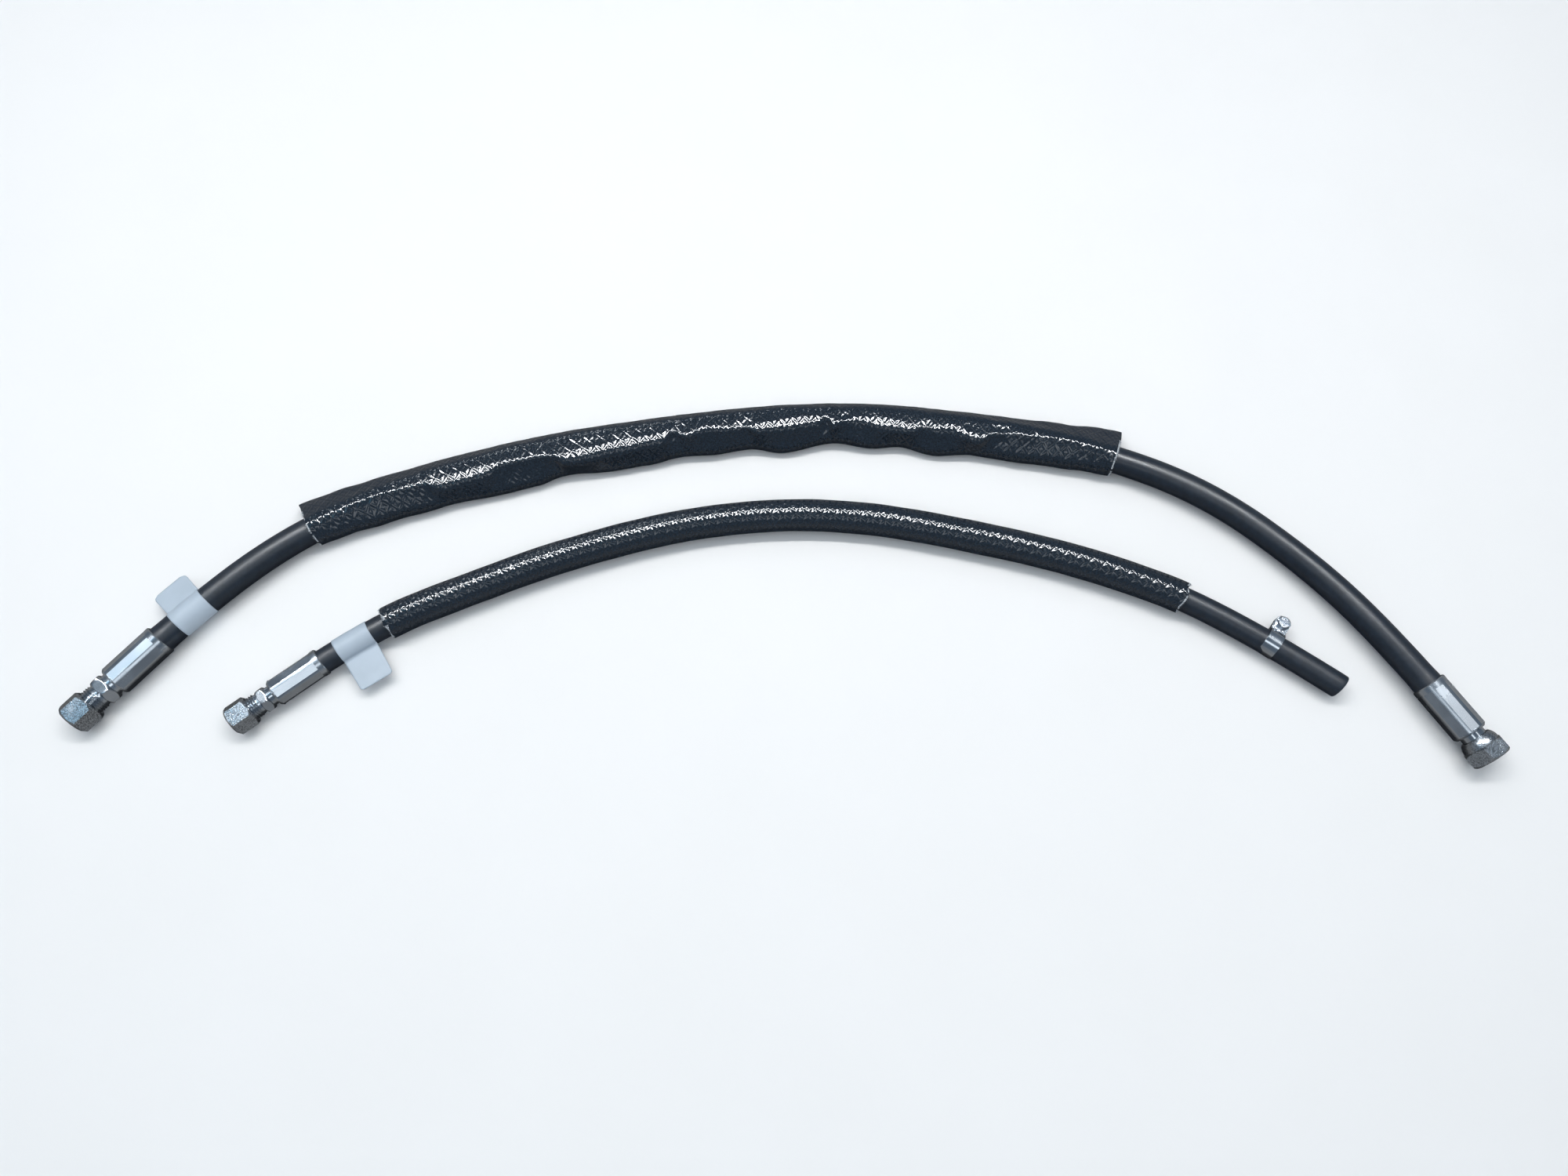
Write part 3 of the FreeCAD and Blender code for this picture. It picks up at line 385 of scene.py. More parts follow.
def film():
    """Blank off-white label film, slightly rubbed."""
    color = (0.46, 0.535, 0.61)
    material = new_material("label_film", color, 0.34)
    nodes = Nodes(material)
    place = object_place(nodes)
    clouds = nodes.noise(60.0, 4.0, place)
    rub = nodes.noise(900.0, 5.0, place, 0.7)
    tint = nodes.ramp(clouds, [(0.3, shaded(color, 0.9)), (0.7, color)])
    nodes.set(Base_Color=tint, Roughness=nodes.spread(rub, 0.3, 0.7, 0.4, 0.55),
              Normal=nodes.bump(clouds, 0.3 * MM, 0.25), Specular_IOR_Level=0.3)
    return material


def plain_black(name, color=(0.015, 0.015, 0.017), roughness=0.6):
    """Smooth rubber of seals and liners."""
    material = new_material(name, color, roughness)
    nodes = Nodes(material)
    dust = nodes.noise(600.0, 4.0, object_place(nodes))
    tint = nodes.ramp(dust, [(0.3, color), (0.8, shaded(color, 1.6))])
    nodes.set(Base_Color=tint, Normal=nodes.bump(dust, 0.03 * MM, 0.4))
    return material


def wire_braid():
    """Braided steel wire of the hose's reinforcement."""
    material = new_material("wire_braid", (0.45, 0.46, 0.47), 0.35, 1.0)
    nodes = Nodes(material)
    ways = skin_place(nodes)
    wire_pitch = 0.5 * MM
    first, second = [
        nodes.math("SINE", nodes.math("MULTIPLY", nodes.math(lean, *ways), math.pi / wire_pitch))
        for lean in ("ADD", "SUBTRACT")
    ]
    braid = nodes.math("MAXIMUM", first, second)
    tint = nodes.ramp(braid, [(0.2, (0.10, 0.10, 0.10)), (0.8, (0.5, 0.51, 0.52))])
    nodes.set(Base_Color=tint, Normal=nodes.bump(braid, 0.15 * MM, 0.8))
    return material


# Camera, light and floor

def look_from(holder, place, target):
    """Stands a camera or lamp at a place and turns it to its target."""
    holder.location = place
    way = (Vector(target) - Vector(place)).normalized()
    holder.rotation_euler = way.to_track_quat("-Z", "Y").to_euler()


def set_camera():
    """The photograph's view: 70 degrees above the surface, from 0.7 m."""
    camera = bpy.data.cameras.new("camera")
    camera.lens = 26.1
    camera.sensor_width = 36.0
    holder = bpy.data.objects.new("camera", camera)
    SCENE.collection.objects.link(holder)
    aim = Vector((2.7 * MM, -4.0 * MM, 0))
    elevation, distance = math.radians(70), 703 * MM
    away = Vector((0, -math.cos(elevation), math.sin(elevation))) * distance
    look_from(holder, aim + away, aim)
    SCENE.camera = holder


def area_light(name, place, target, width, depth, power, color=(1, 1, 1), shows="both"):
    """A rectangular lamp. What it shows in is "both", "gloss" for reflections alone, or
    "matt" for surfaces' own colour alone."""
    light = bpy.data.lights.new(name, "AREA")
    light.shape = "RECTANGLE"
    light.size = width
    light.size_y = depth
    light.energy = power
    light.color = color
    holder = bpy.data.objects.new(name, light)
    SCENE.collection.objects.link(holder)
    look_from(holder, place, target)
    holder.visible_diffuse = shows != "gloss"
    holder.visible_glossy = shows != "matt"


# Shades of the room from straight below, at 0, over the horizon, at 0.5, to straight above
ROOM_SHADES = [
    (0.0, (0.02, 0.022, 0.026)), (0.18, (0.08, 0.08, 0.082)), (0.29, (0.36, 0.36, 0.36)),
    (0.36, (0.33, 0.33, 0.33)), (0.50, (0.29, 0.305, 0.325)), (0.58, (0.30, 0.32, 0.345)),
    (0.64, (0.17, 0.205, 0.25)), (1.0, (0.15, 0.20, 0.255)),
]


def set_room():
    """Bluish light from above, grey at the horizon and dark below, so that the undersides of
    the glossy black pieces mirror something dark."""
    world = bpy.data.worlds.new("room")
    world.use_nodes = True
    nodes = Nodes(world, "Background")
    place = nodes.add("ShaderNodeTexCoord").outputs["Generated"]
    height = nodes.add("ShaderNodeSeparateXYZ", {"Vector": place}).outputs["Z"]
    nodes.set(Color=nodes.ramp(nodes.spread(height, -1.0, 1.0), ROOM_SHADES), Strength=1.0)
    SCENE.world = world


def set_light():
    """A long lamp behind the hoses, an even sky, and panels that the metal mirrors."""
    SCENE.view_settings.view_transform = "Standard"
    set_room()
    cool_white = (0.95, 0.98, 1.0)
    area_light("even_sky", (0, 0.5, 4.0), (0, 0.5, 0), 9.0, 9.0, 150.0, cool_white, "matt")
    area_light("long_lamp", (-0.10, 0.40, 1.3), (-0.10, 0.05, 0), 1.6, 0.09, 11.0)
    area_light("long_glint", (-0.06, 0.40, 1.29), (-0.06, 0.05, 0), 1.5, 0.05, 30.0,
               cool_white, "gloss")
    area_light("back_window", (-0.7, 1.7, 1.15), (-0.1, 0.1, 0), 1.0, 0.06, 4.0,
               (0.9, 0.96, 1.0), "gloss")
    area_light("soft_panel", (0.0, -0.80, 1.35), (0, 0, 0), 0.75, 0.32, 1.5, (0.93, 0.97, 1.0))
    area_light("white_panel", (-0.74, 0.06, 1.4), (-0.4, -0.05, 0), 0.26, 0.20, 0.27)
    area_light("left_panel", (-1.04, 0.28, 1.4), (-0.4, -0.05, 0), 0.2, 0.16, 0.05)
    area_light("blue_panel", (-0.72, -0.22, 1.4), (-0.4, -0.1, 0), 0.5, 0.28, 0.5,
               (0.28, 0.70, 1.0))
    area_light("right_panel", (0.72, -0.04, 1.4), (0.4, -0.08, 0), 0.36, 0.24, 0.36)


def set_floor():
    reach = 6.0
    corners = [(-reach, -reach, 0), (reach, -reach, 0), (reach, reach, 0), (-reach, reach, 0)]
    floor = new_mesh("floor", corners, [(0, 1, 2, 3)])
    material = new_material("pale_floor", (0.88, 0.87, 0.855), 0.9)
    nodes = Nodes(material)
    clouds = nodes.noise(9.0, 2.0, object_place(nodes))
    tint = nodes.ramp(clouds, [(0.2, (0.87, 0.858, 0.842)), (0.8, (0.89, 0.878, 0.865))])
    nodes.set(Base_Color=tint)
    floor.data.materials.append(material)
    floor.visible_glossy = False


# Hoses

def hose_cover(name, path, radius, bore, mouths):
    """Rubber cover, a little fuller where it comes out of each ferrule mouth."""
    swell, swell_reach = 0.25 * MM, 4 * MM

    def full(distance):
        return radius + sum(swell * math.exp(-((distance - mouth) / swell_reach) ** 2)
                            for mouth in mouths)

    stations = steps(0.0, path.length, SEEN_SPACING)
    rings = [(distance, full(distance)) for distance in stations]
    rings += [(distance, bore) for distance in reversed(stations)]
    return swept_tube(name, path, rings, 48)


def supply_hose(path, material):
    cover = hose_cover("supply_hose", path, SUPPLY_RADIUS, 5.0 * MM,
                       [SUPPLY_INSERTION, path.length - SUPPLY_INSERTION])
    dress(cover, material, "supply_line", "hose_rubber",
          "supply_hose_cover", "supply_hose_braid", "supply_hose_liner")
    line = [path.spot(distance) for distance in steps(0.0, path.length, CORD_SPACING)]
    tuple(path.spot(0.0))


def cut_slant(distance, angle, radius):
    """The saw cut runs a little aslant across the hose: a shift along it for each point."""
    slope, heading = 0.09, 0.6
    return distance + slope * radius * math.cos(angle - heading)


def return_hose(path, rubber_material, braid_material, liner_material):
    """Three layers, all open at the cut end, where the cover's edge is rubbed round."""
    end = path.length
    rounding, lip_steps = 1.1 * MM, 5
    braid_radius, liner_radius, bore = 5.7 * MM, 5.1 * MM, 4.0 * MM
    slant_start = end - 6 * MM

    def slant(distance, angle, radius):
        if distance < slant_start:
            return distance, radius
        share = smoothstep(slant_start, end, distance)
        return distance + share * (cut_slant(distance, angle, radius) - distance), radius

    outer = [(distance, RETURN_RADIUS) for distance in steps(0.0, end - rounding, SEEN_SPACING)]
    lip = []
    for index in range(1, lip_steps + 1):
        turn = math.pi / 2 * index / lip_steps
        lip.append((end - rounding * (1 - math.sin(turn)),
                    RETURN_RADIUS - rounding * (1 - math.cos(turn))))
    face = [(end, braid_radius + 0.3 * MM), (end - 0.25 * MM, braid_radius)]
    inner = [(distance, braid_radius)
             for distance in reversed(steps(0.0, end - 2 * MM, HIDDEN_SPACING))]
    cover = swept_tube("return_hose", path, outer + lip + face + inner, 48, slant)
    dress(cover, rubber_material, "return_line", "hose_rubber", "return_hose_cover")

    def layer(name, node, radius, inside, short, material, slot):
        stations = steps(0.0, end - short, HIDDEN_SPACING)
        rings = [(distance, radius) for distance in stations]
        rings += [(distance, inside) for distance in reversed(stations)]
        piece = swept_tube(name, path, rings, 40, slant)
        dress(piece, material, "return_line", slot, node)
        return piece

    gap = 0.02 * MM
    braid = layer("return_braid", "return_hose_braid", braid_radius - gap,
                  liner_radius + gap, 0.3 * MM, braid_material, "hose_braid")
    liner = layer("return_liner", "return_hose_liner", liner_radius, bore, 0.1 * MM,
                  liner_material, "hose_liner")
    line = [path.spot(distance) for distance in steps(0.0, end, CORD_SPACING)]
    tuple(path.spot(0.0))


# Heat sleeves

def hull_section(outward, inward, crown, inset, sides):
    """Even points round the loose sleeve's section, and the way out at each: round the hose,
    the crown of the cloth and the folds at both edges, flat below. They start on top."""
    body_radius, narrowest, top = 9.9 * MM, 10.8 * MM, 20.0 * MM
    edge_drop, edge_slope, fine_count = 1.6 * MM, 0.33, 240
    circles = [(Vector((0.0, body_radius)), body_radius)]
    for reach, side in ((outward, 1), (inward, -1)):
        radius = narrowest - edge_drop - edge_slope * (reach - narrowest)
        circles.append((Vector((side * (reach - radius), radius)), radius))
    offset, breadth, radius = crown
    breadth = min(breadth, max(inward - offset - radius, 0.0))
    for shift in (0.0, breadth):
        circles.append((Vector((-offset - shift, top - radius - shift * LEVEL_TILT)), radius))
    fine = []
    for index in range(fine_count):
        angle = 2 * math.pi * index / fine_count + math.pi / 2
        way = Vector((math.cos(angle), math.sin(angle)))
        middle, radius = max(circles, key=lambda c: c[0].dot(way) + c[1])
        fine.append((middle + (radius - inset) * way, way))
    return even_loop(fine, sides)


def even_loop(points, sides):
    """The closed loop again, as so many evenly spaced points from the same start."""
    marks = [0.0]
    loop = points + points[:1]
    for (before, _), (after, _) in zip(loop, loop[1:]):
        marks.append(marks[-1] + (after - before).length)
    spaced, low = [], 0
    for index in range(sides):
        mark = marks[-1] * index / sides
        while marks[low + 1] < mark:
            low += 1
        span = marks[low + 1] - marks[low]
        share = (mark - marks[low]) / span if span else 0.0
        (spot, way), (next_spot, next_way) = loop[low], loop[low + 1]
        spaced.append((spot.lerp(next_spot, share), way.lerp(next_way, share).normalized()))
    return spaced


# Along the loose sleeve, in mm: distance, reach of the outer fold, reach of the inner fold
FOLDS = [
    (0.0, 22.0, 10.8), (20.0, 19.0, 12.6), (42.0, 16.0, 15.0), (80.0, 13.2, 16.8),
    (121.0, 11.8, 19.8), (142.0, 11.4, 19.6), (161.0, 11.0, 17.0), (192.0, 10.8, 19.1),
    (214.0, 10.8, 18.7), (237.0, 10.8, 16.4), (258.0, 10.8, 17.6), (280.0, 10.8, 16.2),
    (303.0, 10.8, 20.2), (338.0, 10.8, 15.2), (361.0, 10.8, 18.0), (381.0, 10.8, 16.2),
    (404.0, 11.0, 19.2), (429.0, 11.6, 15.8), (454.0, 12.8, 16.0), (484.0, 16.0, 14.4),
    (507.0, 20.6, 11.8), (518.0, 22.2, 10.8),
]
# Distance, sideways place of the cloth's crown, breadth of its level strip, its roundness
CROWNS = [
    (0.0, 0.0, 0.0, 3.0), (40.0, 1.0, 0.0, 2.5), (72.0, 3.0, 0.5, 3.0), (84.0, 4.0, 3.0, 7.0),
    (112.0, 4.4, 3.2, 7.0), (126.0, 5.0, 0.8, 3.0), (148.0, 6.4, 0.2, 2.5), (156.0, 8.0, 0.0, 1.2),
    (163.0, 9.2, 2.0, 5.0), (176.0, 7.6, 2.6, 7.0), (200.0, 5.8, 2.8, 7.0), (226.0, 4.6, 2.6, 7.0),
    (234.0, 4.4, 0.0, 1.2), (241.0, 7.8, 0.2, 3.0), (255.0, 3.8, 0.4, 6.0), (272.0, 6.0, 0.4, 4.0),
    (280.0, 7.0, 0.0, 1.2), (287.0, 6.0, 2.2, 5.0), (305.0, 3.4, 3.4, 7.0), (326.0, 2.2, 2.6, 7.0),
    (332.0, 3.0, 0.0, 1.2), (337.0, 6.8, 1.6, 4.0), (342.0, 6.0, 0.0, 1.2), (352.0, 2.6, 1.2, 6.0),
    (370.0, 3.4, 3.2, 7.0), (388.0, 6.4, 1.8, 5.0), (396.0, 7.0, 0.0, 1.2), (403.0, 5.0, 1.0, 6.0),
    (411.0, 3.4, 1.6, 7.0), (431.0, 8.0, 1.0, 5.0), (440.0, 5.0, 0.0, 1.2), (456.0, 2.4, 0.3, 3.0),
    (489.0, 0.0, 0.3, 3.0), (518.0, 0.0, 0.0, 3.0),
]
# How the crown's level strip falls away to the side, for each unit of breadth
LEVEL_TILT = 0.125


def eased(table, distance):
    """Row of a table of millimetres at a distance, eased between its rows, in metres."""
    for (low, *before), (high, *after) in zip(table, table[1:]):
        if distance <= high * MM:
            share = smoothstep(low * MM, high * MM, distance)
            return [(a + (b - a) * share) * MM for a, b in zip(before, after)]
    return [value * MM for value in table[-1][1:]]


def hand_cut(distance, length, angle, seed):
    """Shift of a rim that was cut by hand, fading out a few millimetres into the sleeve."""
    reach, depth, waves = 7 * MM, 1.6 * MM, 1.3
    near = 1 - smoothstep(0.0, reach, min(distance, length - distance))
    wave = noise.noise(Vector((math.cos(angle) * waves, math.sin(angle) * waves, seed)))
    return depth * wave * near


def skin_rows(length):
    """Distance and depth in the wall of each ring: out along the outer skin, back inside."""
    spacing, rim, round_out = 1.5 * MM, 0.8 * MM, 0.25 * MM
    stations = steps(0.0, length, spacing)
    stations = stations[:1] + [rim] + stations[1:-1] + [length - rim] + stations[-1:]
    rows = [(distance, 0.0) for distance in stations]
    rows.append((length + round_out, SLEEVE_WALL / 2))
    rows += [(distance, SLEEVE_WALL) for distance in reversed(stations)]
    rows.append((-round_out, SLEEVE_WALL / 2))
    return rows


def finish_sleeve(line, rings, rows, strands_round, weave, fibre_material, frayed):
    """Joins a sleeve's rings, and frays its two rims at the points that frayed picks."""
    name, girth = f"{line}_sleeve", strands_round * WEAVE_PITCH
    sleeve = ring_mesh(name, rings, [distance for distance, depth in rows], girth)
    sleeve.data.materials.append(weave)
    sleeve.data.materials.append(fibre_material)
    sides = len(rings[0])
    middle = len(rows) // 2 - 1
    for row in (middle, len(rows) - 1):
        for column in range(sides):
            if frayed(rings[row][column], row, column):
                for near in (row, row - 1, row - 2 if row == middle else 0):
                    sleeve.data.polygons[near * sides + column].material_index = 1
    strands = frayed_strands(f"{name}_strands", rings, middle, frayed, fibre_material)
    for piece in (sleeve, strands):
        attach(piece, f"{line}_line")
    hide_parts(f"{line}_heat_sleeve")


def frayed_strands(name, rings, middle, frayed, material):
    """Short glass fibres that stand out of the cut rims."""
    chance = random.Random(7)
    vertices, faces = [], []
    sides = len(rings[0])
    bald_share, each, root_depth = 0.25, 2, 0.2
    for row, before in ((middle, middle - 3), (len(rings) - 1, 2)):
        for column in range(sides):
            root = rings[row][column]
            if not frayed(root, row, column) or chance.random() < bald_share:
                continue
            ahead = (root - rings[before][column]).normalized()
            across = (rings[row][(column + 1) % sides] - root).normalized()
            up = ahead.cross(across)
            for _ in range(each):
                length = chance.uniform(0.5, 1.5) * MM
                lean = across * chance.uniform(-0.7, 0.7) + up * chance.uniform(-0.35, 0.5)
                start = root + across * chance.uniform(-0.4, 0.4) * MM - ahead * root_depth * MM
                thick = chance.uniform(0.05, 0.10) * MM
                add_strand(vertices, faces, start, (ahead, across, up), lean, length, thick)
    strands = new_mesh(name, vertices, faces)
    strands.data.materials.append(material)
    return strands


def add_strand(vertices, faces, start, ways, lean, length, thick):
    """One fibre: a thin three-sided spike that leans over as it goes out."""
    ahead, across, up = ways
    corners, thinning, lowest = 3, 0.7, 0.1 * MM
    base = len(vertices)
    for share in (0.0, 0.5, 1.0):
        spot = start + (ahead * share + lean * share * share) * length
        spot.z = max(spot.z, lowest)
        for corner in range(corners):
            turn = 2 * math.pi * corner / corners
            side = across * math.cos(turn) + up * math.sin(turn)
            vertices.append(spot + side * (thick * (1 - thinning * share)))
    for ring in (base, base + corners):
        for corner in range(corners):
            beside = (corner + 1) % corners
            faces.append((ring + corner, ring + beside,
                          ring + corners + beside, ring + corners + corner))
    faces += [(base + 2, base + 1, base), (base + 6, base + 7, base + 8)]


def creased(spot, way, held, pucker):
    """A point of the loose cloth, moved out or in by creases of two sizes above the surface,
    and by small gathers, as deep as pucker, near the crown."""
    crease_depth, finer_share = 0.3 * MM, 0.6
    crease = noise.noise(Vector((held * 55, spot.x * 90, spot.y * 60 + 3.1)))
    crease += finer_share * noise.noise(Vector((held * 130, spot.x * 170, spot.y * 150)))
    gathers = noise.noise(Vector((held * 240, spot.x * 160, 7.7))) - 0.25
    spot = spot + way * (crease_depth * crease * smoothstep(1 * MM, 5 * MM, spot.y))
    return spot + way * (pucker * gathers * smoothstep(12 * MM, 17 * MM, spot.y))


def supply_sleeve(path, start, weave, fibre_material):
    """The wide sleeve, pinched along its inner edge, flat and open at both ends."""
    length, sides = FOLDS[-1][0] * MM, 112
    deepest, sharp_crown, round_crown = 0.55 * MM, 1.2 * MM, 5.5 * MM
    rows = skin_rows(length)
    rings = []
    for distance, depth in rows:
        held = min(max(distance, 0.0), length)
        outward, inward = eased(FOLDS, held)
        crown = eased(CROWNS, held)
        pucker = deepest * (1 - smoothstep(sharp_crown, round_crown, crown[2]))
        ring = []
        for index, (spot, way) in enumerate(hull_section(outward, inward, crown, depth, sides)):
            spot = creased(spot, way, held, pucker)
            cut = hand_cut(held, length, 2 * math.pi * index / sides, 1.0 if held else 5.0)
            base, ahead, left, up = path.frame(start + distance + cut)
            ring.append(Vector((base.x, base.y, 0)) + left * spot.x + UP * spot.y)
        rings.append(ring)

    def frayed(spot, row, column):
        """Along the round of the hose, where the white glass shows; the flap is sealed flat."""
        base = path.spot(start + min(max(rows[row][0], 0.0), length))
        patchy = noise.noise(Vector((column * 0.35, row * 0.1, 2.0))) > -0.22
        near_hose = 12.5 * MM
        return (spot - base).length < near_hose and patchy

    finish_sleeve("supply", rings, rows, 18, weave, fibre_material, frayed)


def return_sleeve(path, start, weave, fibre_material):
    """The snug round sleeve. The hose rests on its lower wall."""
    length, outer, sides = 501 * MM, 10.0 * MM, 72
    lifted, lump_depth = 1.0 * MM, 0.2 * MM
    rows = skin_rows(length)
    rings = []
    for distance, depth in rows:
        held = min(max(distance, 0.0), length)
        ring = []
        for index in range(sides):
            angle = 2 * math.pi * index / sides
            cut = hand_cut(held, length, angle, 9.0 if held else 3.0)
            spot, ahead, left, up = path.frame(start + distance + cut)
            way = left * math.cos(angle) + up * math.sin(angle)
            lump = noise.noise(Vector((held * 60, math.cos(angle), math.sin(angle))))
            above_rest = smoothstep(-0.9, -0.5, math.sin(angle))
            reach = outer - depth + lump_depth * lump * above_rest
            ring.append(spot + up * lifted + way * reach)
        rings.append(ring)

    def frayed(spot, row, column):
        return noise.noise(Vector((column * 0.3, row * 0.1, 6.0))) > -0.18

    finish_sleeve("return", rings, rows, 16, weave, fibre_material, frayed)


# Labels

def flag_label(line, path, radius, material):
    """A film wrapped once round the hose, with its two ends stuck together as a flag."""
    middle, reach, corner, side = FLAGS[line]
    length, thick, bond_gap = 22 * MM, 0.3 * MM, 0.05 * MM
    bend, spacing, round_steps, sag = 2.2 * MM, 1.0 * MM, 64, 0.8 * MM
    inner = radius + bond_gap
    end = inner + reach

    def half_length(y):
        over = y - (end - corner)
        if over <= 0:
            return length / 2
        return length / 2 - corner + math.sqrt(max(corner ** 2 - over ** 2, 0.0))

    def droop(y):
        return -sag * smoothstep(inner, end, y)

    def film_line(offset):
        """Section of the film's one face, from the flag's tip round the hose to its tip."""
        round_radius = inner + offset
        spots = [(y, offset) for y in steps(end, inner + bend, spacing)]
        for index in range(1, round_steps):
            angle = 2 * math.pi * index / round_steps
            spots.append((round_radius * math.cos(angle), round_radius * math.sin(angle)))
        spots += [(y, -offset) for y in steps(inner + bend, end, spacing)]
        return spots

    columns = steps(-1.0, 1.0, 0.08)
    rings = []
    for offset, ways in ((thick, columns), (0.0, columns[::-1])):
        for share in ways:
            ring = []
            for y, z in film_line(offset):
                along = share * (half_length(y) if y > inner else length / 2)
                spot, ahead, left, up = path.frame(middle + along)
                ring.append(spot + left * (side * y) + up * (z + (droop(y) if y > inner else 0)))
            rings.append(ring)
    label = loop_mesh(f"{line}_flag", rings)
    dress(label, material, f"{line}_line", "label", f"{line}_label")


def loop_mesh(name, rings):
    """A closed sheet: rows of open lines whose first and last points are edges."""
    count = len(rings[0])
    vertices = [point for ring in rings for point in ring]
    faces = []
    total = len(rings)
    for row in range(total):
        following = (row + 1) % total
        for column in range(count - 1):
            faces.append((row * count + column, row * count + column + 1,
                          following * count + column + 1, following * count + column))
    half = total // 2
    for column in (0, count - 1):
        for row in range(half - 1):
            mirror = total - 1 - row
            quad = [row * count + column, (row + 1) * count + column,
                    (mirror - 1) * count + column, mirror * count + column]
            faces.append(quad if column else quad[::-1])
    return new_mesh(name, vertices, faces)


# Fittings

# Sizes of the two compression stems along their axes from the ferrule's mouth, in mm
STEMS = {
    "supply": {
        "mouth": (-0.369846, -0.040445, 0.0110), "ahead": SUPPLY_AHEAD,
        "turn": -6.0, "crest": 4.97, "stop_at": 31.1, "stop": 6.4, "lock_at": 32.3, "lock": 5.4,
        "neck_at": 35.1, "neck": 7.2, "hex": (37.4, 44.4), "flat": 8.5, "thread": 8.0,
        "end": 55.4, "bore": 3.5, "pipe": 5.05, "mouth_radius": 6.15,
    },
    "return": {
        "mouth": (-0.271947, -0.053847, 0.009845), "ahead": RETURN_AHEAD,
        "turn": -1.0, "crest": 3.97, "stop_at": 29.1, "stop": 5.3, "lock_at": 30.3, "lock": 4.4,
        "neck_at": 32.7, "neck": 6.0, "hex": (35.5, 41.0), "flat": 7.0, "thread": 7.0,
        "end": 52.0, "bore": 2.75, "pipe": 4.05, "mouth_radius": 5.15,
    },
}
THREAD_PITCH = 1.5
THREAD_DEPTH = 0.85
THREAD_SPACING = 0.125


def thread_height(x, angle):
    """Height, from 0 to 1, of a right-hand thread with flattened crests and roots."""
    flat_share, slope_share = 0.16, 0.68
    turn = (x / THREAD_PITCH - angle / (2 * math.pi)) % 1.0
    slope = 1 - abs(2 * turn - 1)
    return min(max((slope - flat_share) / slope_share, 0.0), 1.0)


def hexagon_radius(angle, flat, turn):
    """Radius of a hexagon's side at an angle, its corners counted from turn."""
    sector = math.radians(60)
    return flat / math.cos((angle - turn) % sector - sector / 2)


def lathe(name, fitting, profile, sides=96):
    """Turned piece along a fitting's axis. Each step of the closed profile is a place along
    it and a radius, which may depend on the angle."""
    mouth, ahead = Vector(fitting["mouth"]), Vector(fitting["ahead"]).normalized()
    left = UP.cross(ahead)
    up = ahead.cross(left)
    turn = math.radians(fitting["turn"])
    rings = []
    for x, radius in profile:
        ring = []
        for index in range(sides):
            angle = turn + 2 * math.pi * index / sides
            reach = radius(angle) if callable(radius) else radius
            way = left * math.cos(angle) + up * math.sin(angle)
            ring.append(mouth + (ahead * x + way * reach) * MM)
        rings.append(ring)
    piece = ring_mesh(name, rings, [x * MM for x, radius in profile])
    crease_angle = math.radians(28)
    piece.data.set_sharp_from_angle(angle=crease_angle)
    return piece


def chamfered_hexagon(fitting):
    """Stations of a hexagon whose corners are turned off at both faces."""
    start, finish = fitting["hex"]
    flat, turn = fitting["flat"], math.radians(fitting["turn"])
    run, spacing, face_share, slope = 1.7, 0.2, 0.94, 0.9

    def station(x):
        cone = flat * face_share + min(x - start, finish - x) / slope
        return x, lambda angle: min(cone, hexagon_radius(angle, flat, turn))

    cuts = steps(start, start + run, spacing) + steps(finish - run, finish, spacing)
    return [station(x) for x in cuts]


def threaded_stem(line, material):
    """Barbed tail, hexagon and a stud with a real helical thread, open to the pipe's cone."""
    fitting = STEMS[line]
    barb_depth, barb_pitch, barb_crest, barb_foot = 0.45, 5.4, 3.78, 3.92
    tip, tip_end, tip_taper = 1.0, 2.2, 0.36
    crest, root = fitting["crest"], fitting["crest"] - barb_depth
    profile = [(tip, root - tip_taper), (tip_end, root)]
    at = tip_end
    while at + barb_pitch < fitting["stop_at"]:
        profile += [(at + barb_crest, crest), (at + barb_foot, root), (at + barb_pitch, root)]
        at += barb_pitch
    profile += [
        (fitting["stop_at"], root), (fitting["stop_at"], fitting["stop"]),
        (fitting["lock_at"], fitting["stop"]), (fitting["lock_at"], fitting["lock"]),
        (fitting["neck_at"], fitting["lock"]), (fitting["neck_at"], fitting["neck"]),
        (fitting["hex"][0], fitting["neck"]),
    ]
    profile += chamfered_hexagon(fitting)
    end, relief, lead = fitting["end"], 1.2, 0.1
    core = fitting["thread"] - THREAD_DEPTH
    thread_start = fitting["hex"][1] + relief
    profile += [(fitting["hex"][1], core), (thread_start, core)]

    def thread_station(x):
        ends = min(smoothstep(0.0, 1.2, x - thread_start), smoothstep(-0.1, 1.0, end - x))
        return x, lambda angle: core + THREAD_DEPTH * ends * thread_height(x, angle)

    profile += [thread_station(x) for x in steps(thread_start + lead, end, THREAD_SPACING)]
    socket_depth, cone_angle = 4.0, math.radians(12)
    cone_start = end - (fitting["mouth_radius"] - fitting["pipe"]) / math.tan(cone_angle)
    socket_start = cone_start - socket_depth
    profile += [
        (end, fitting["mouth_radius"]), (cone_start, fitting["pipe"]),
        (socket_start, fitting["pipe"]), (socket_start, fitting["bore"]), (tip, fitting["bore"]),
    ]
    stem = lathe(f"{line}_stem", fitting, profile)
    dress(stem, material, f"{line}_line", "zinc", f"{line}_gland_stem")


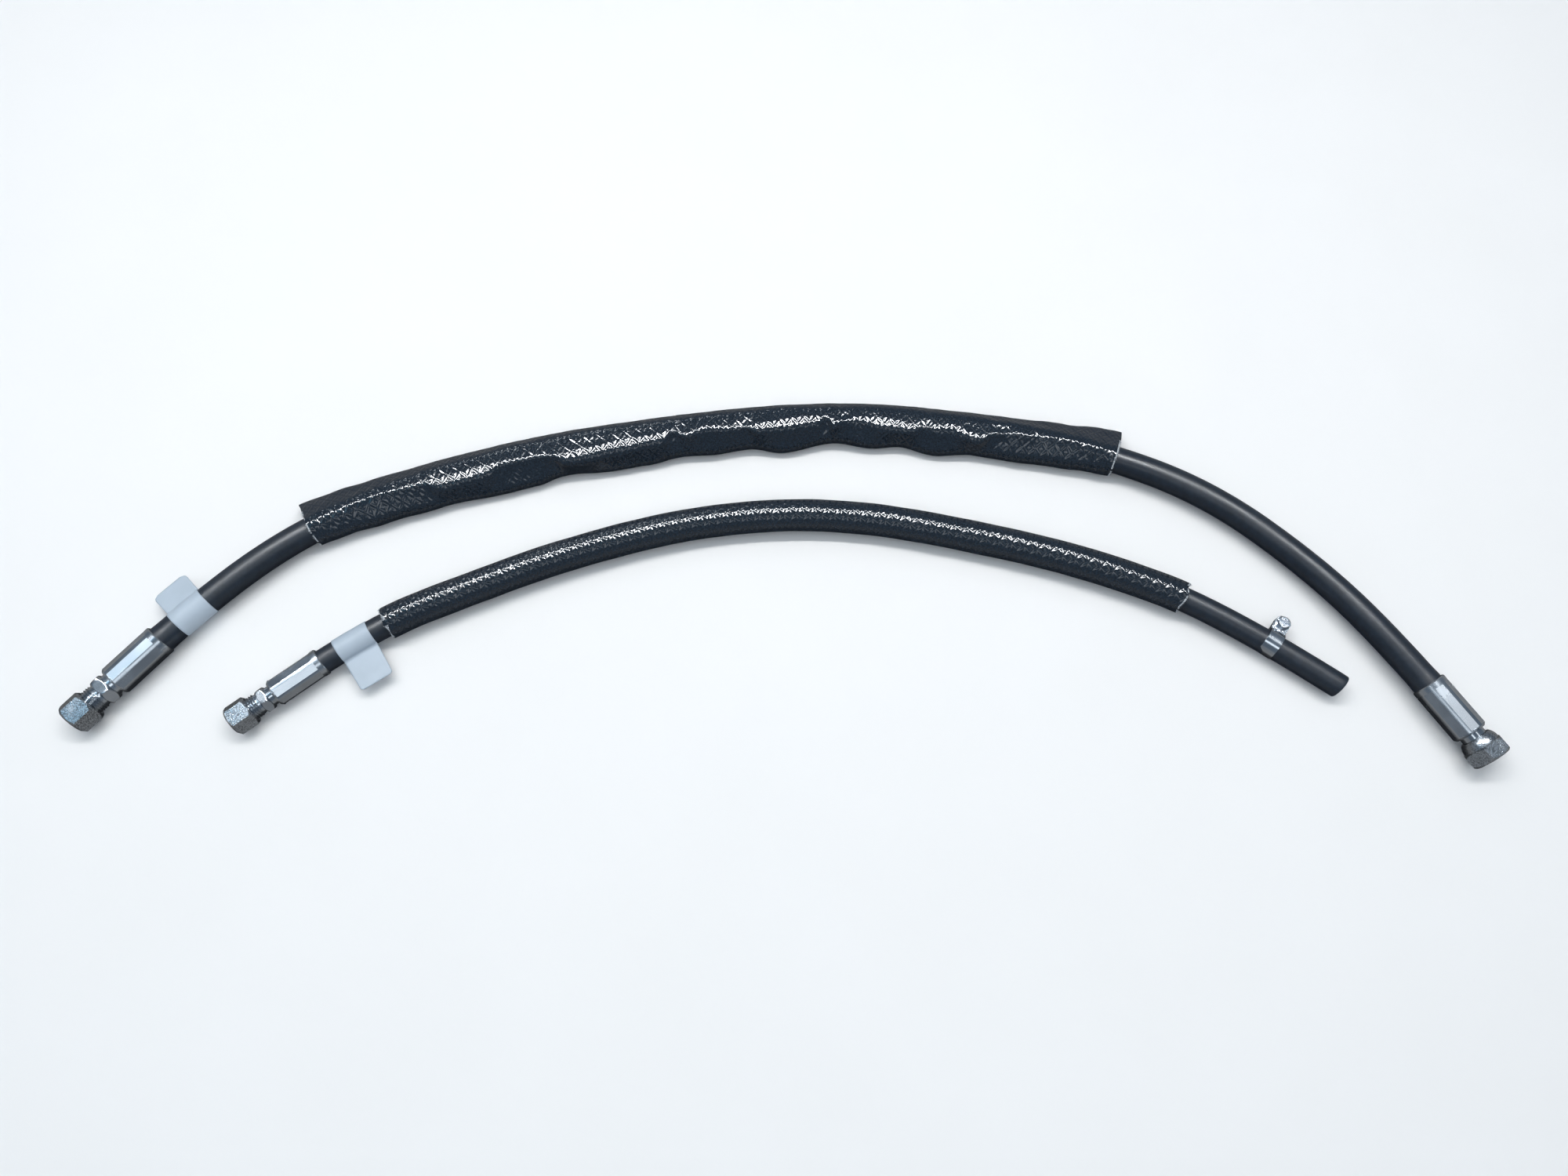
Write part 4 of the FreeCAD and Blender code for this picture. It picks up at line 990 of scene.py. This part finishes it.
def swivel_thread(material):
    """The swivel nut's inner thread, seen through its open end."""
    fitting = {"mouth": (0.381576, -0.068663, 0.012732), "ahead": SWIVEL_AHEAD, "turn": 3.0}
    start, finish, wall = 46.7, 52.4, 9.03
    depth, run_out, root_gap, sunk = 0.75, 0.8, 0.03, 0.1

    def station(x):
        ends = min(smoothstep(0.0, run_out, x - start), smoothstep(0.0, run_out, finish - x))
        return x, lambda angle: wall - root_gap - depth * ends * thread_height(x, angle)

    profile = [station(x) for x in steps(start, finish, THREAD_SPACING)]
    profile += [(finish, wall + sunk), (start, wall + sunk)]
    dress(lathe("swivel_nut_thread", fitting, profile), material, "swivel", "zinc")


def dress_fittings():
    """Procedural metal and rubber on the rigid CAD nodes."""
    bright, crimped, forged = {}, {}, {}
    for end, ahead in (("supply", SUPPLY_AHEAD), ("return", RETURN_AHEAD),
                       ("swivel", SWIVEL_AHEAD)):
        heading = math.atan2(ahead[1], ahead[0])
        bright[end] = zinc(f"{end}_zinc", heading)
        crimped[end] = zinc(f"{end}_crimp_zinc", heading, roughness=0.22)
        forged[end] = zinc(f"{end}_nut_zinc", heading, roughness=0.24, speckle=0.5)
    clip_heading = math.atan2(CLIP_AHEAD[1], CLIP_AHEAD[0])
    clip_zinc = zinc("clip_zinc", clip_heading, roughness=0.16)
    screw_zinc = zinc("screw_zinc", clip_heading, (0.46, 0.50, 0.55), 0.19)
    ring_heading = math.atan2(SUPPLY_AHEAD[1], SUPPLY_AHEAD[0])
    ring_steel = zinc("ring_steel", ring_heading, (0.30, 0.31, 0.32), 0.4)
    seal = plain_black("seal_rubber", roughness=0.4)
    wearing = {
        "supply_gland_ferrule": crimped["supply"], "supply_gland_stem": bright["supply"],
        "supply_gland_nut": forged["supply"], "supply_cutting_ring": ring_steel,
        "supply_swivel_ferrule": crimped["swivel"], "swivel_stem": bright["swivel"],
        "swivel_nut": forged["swivel"], "swivel_seal": seal,
        "return_gland_ferrule": crimped["return"], "return_gland_stem": bright["return"],
        "return_gland_nut": forged["return"], "return_cutting_ring": ring_steel,
        "clip_band": clip_zinc, "clip_screw": screw_zinc, "clip_nut": clip_zinc,
    }
    for node, material in wearing.items():
        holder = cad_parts[node]
        holder.data.materials.clear()
        holder.data.materials.append(material)
    threaded_stem("supply", bright["supply"])
    threaded_stem("return", bright["return"])
    swivel_thread(bright["swivel"])


set_camera()
set_light()
set_floor()
supply_path = Path(SUPPLY_ROUTE)
return_path = Path(RETURN_ROUTE)
hose_rubber = rubber("hose_rubber")
braided = coated_weave("coated_braid")
glass_fibre = fibre()
label_film = film()
supply_hose(supply_path, hose_rubber)
return_hose(return_path, hose_rubber, wire_braid(), plain_black("liner_rubber"))
supply_sleeve(supply_path, SUPPLY_SLEEVE_START, braided, glass_fibre)
return_sleeve(return_path, RETURN_SLEEVE_START, braided, glass_fibre)
flag_label("supply", supply_path, SUPPLY_RADIUS, label_film)
flag_label("return", return_path, RETURN_RADIUS, label_film)
dress_fittings()
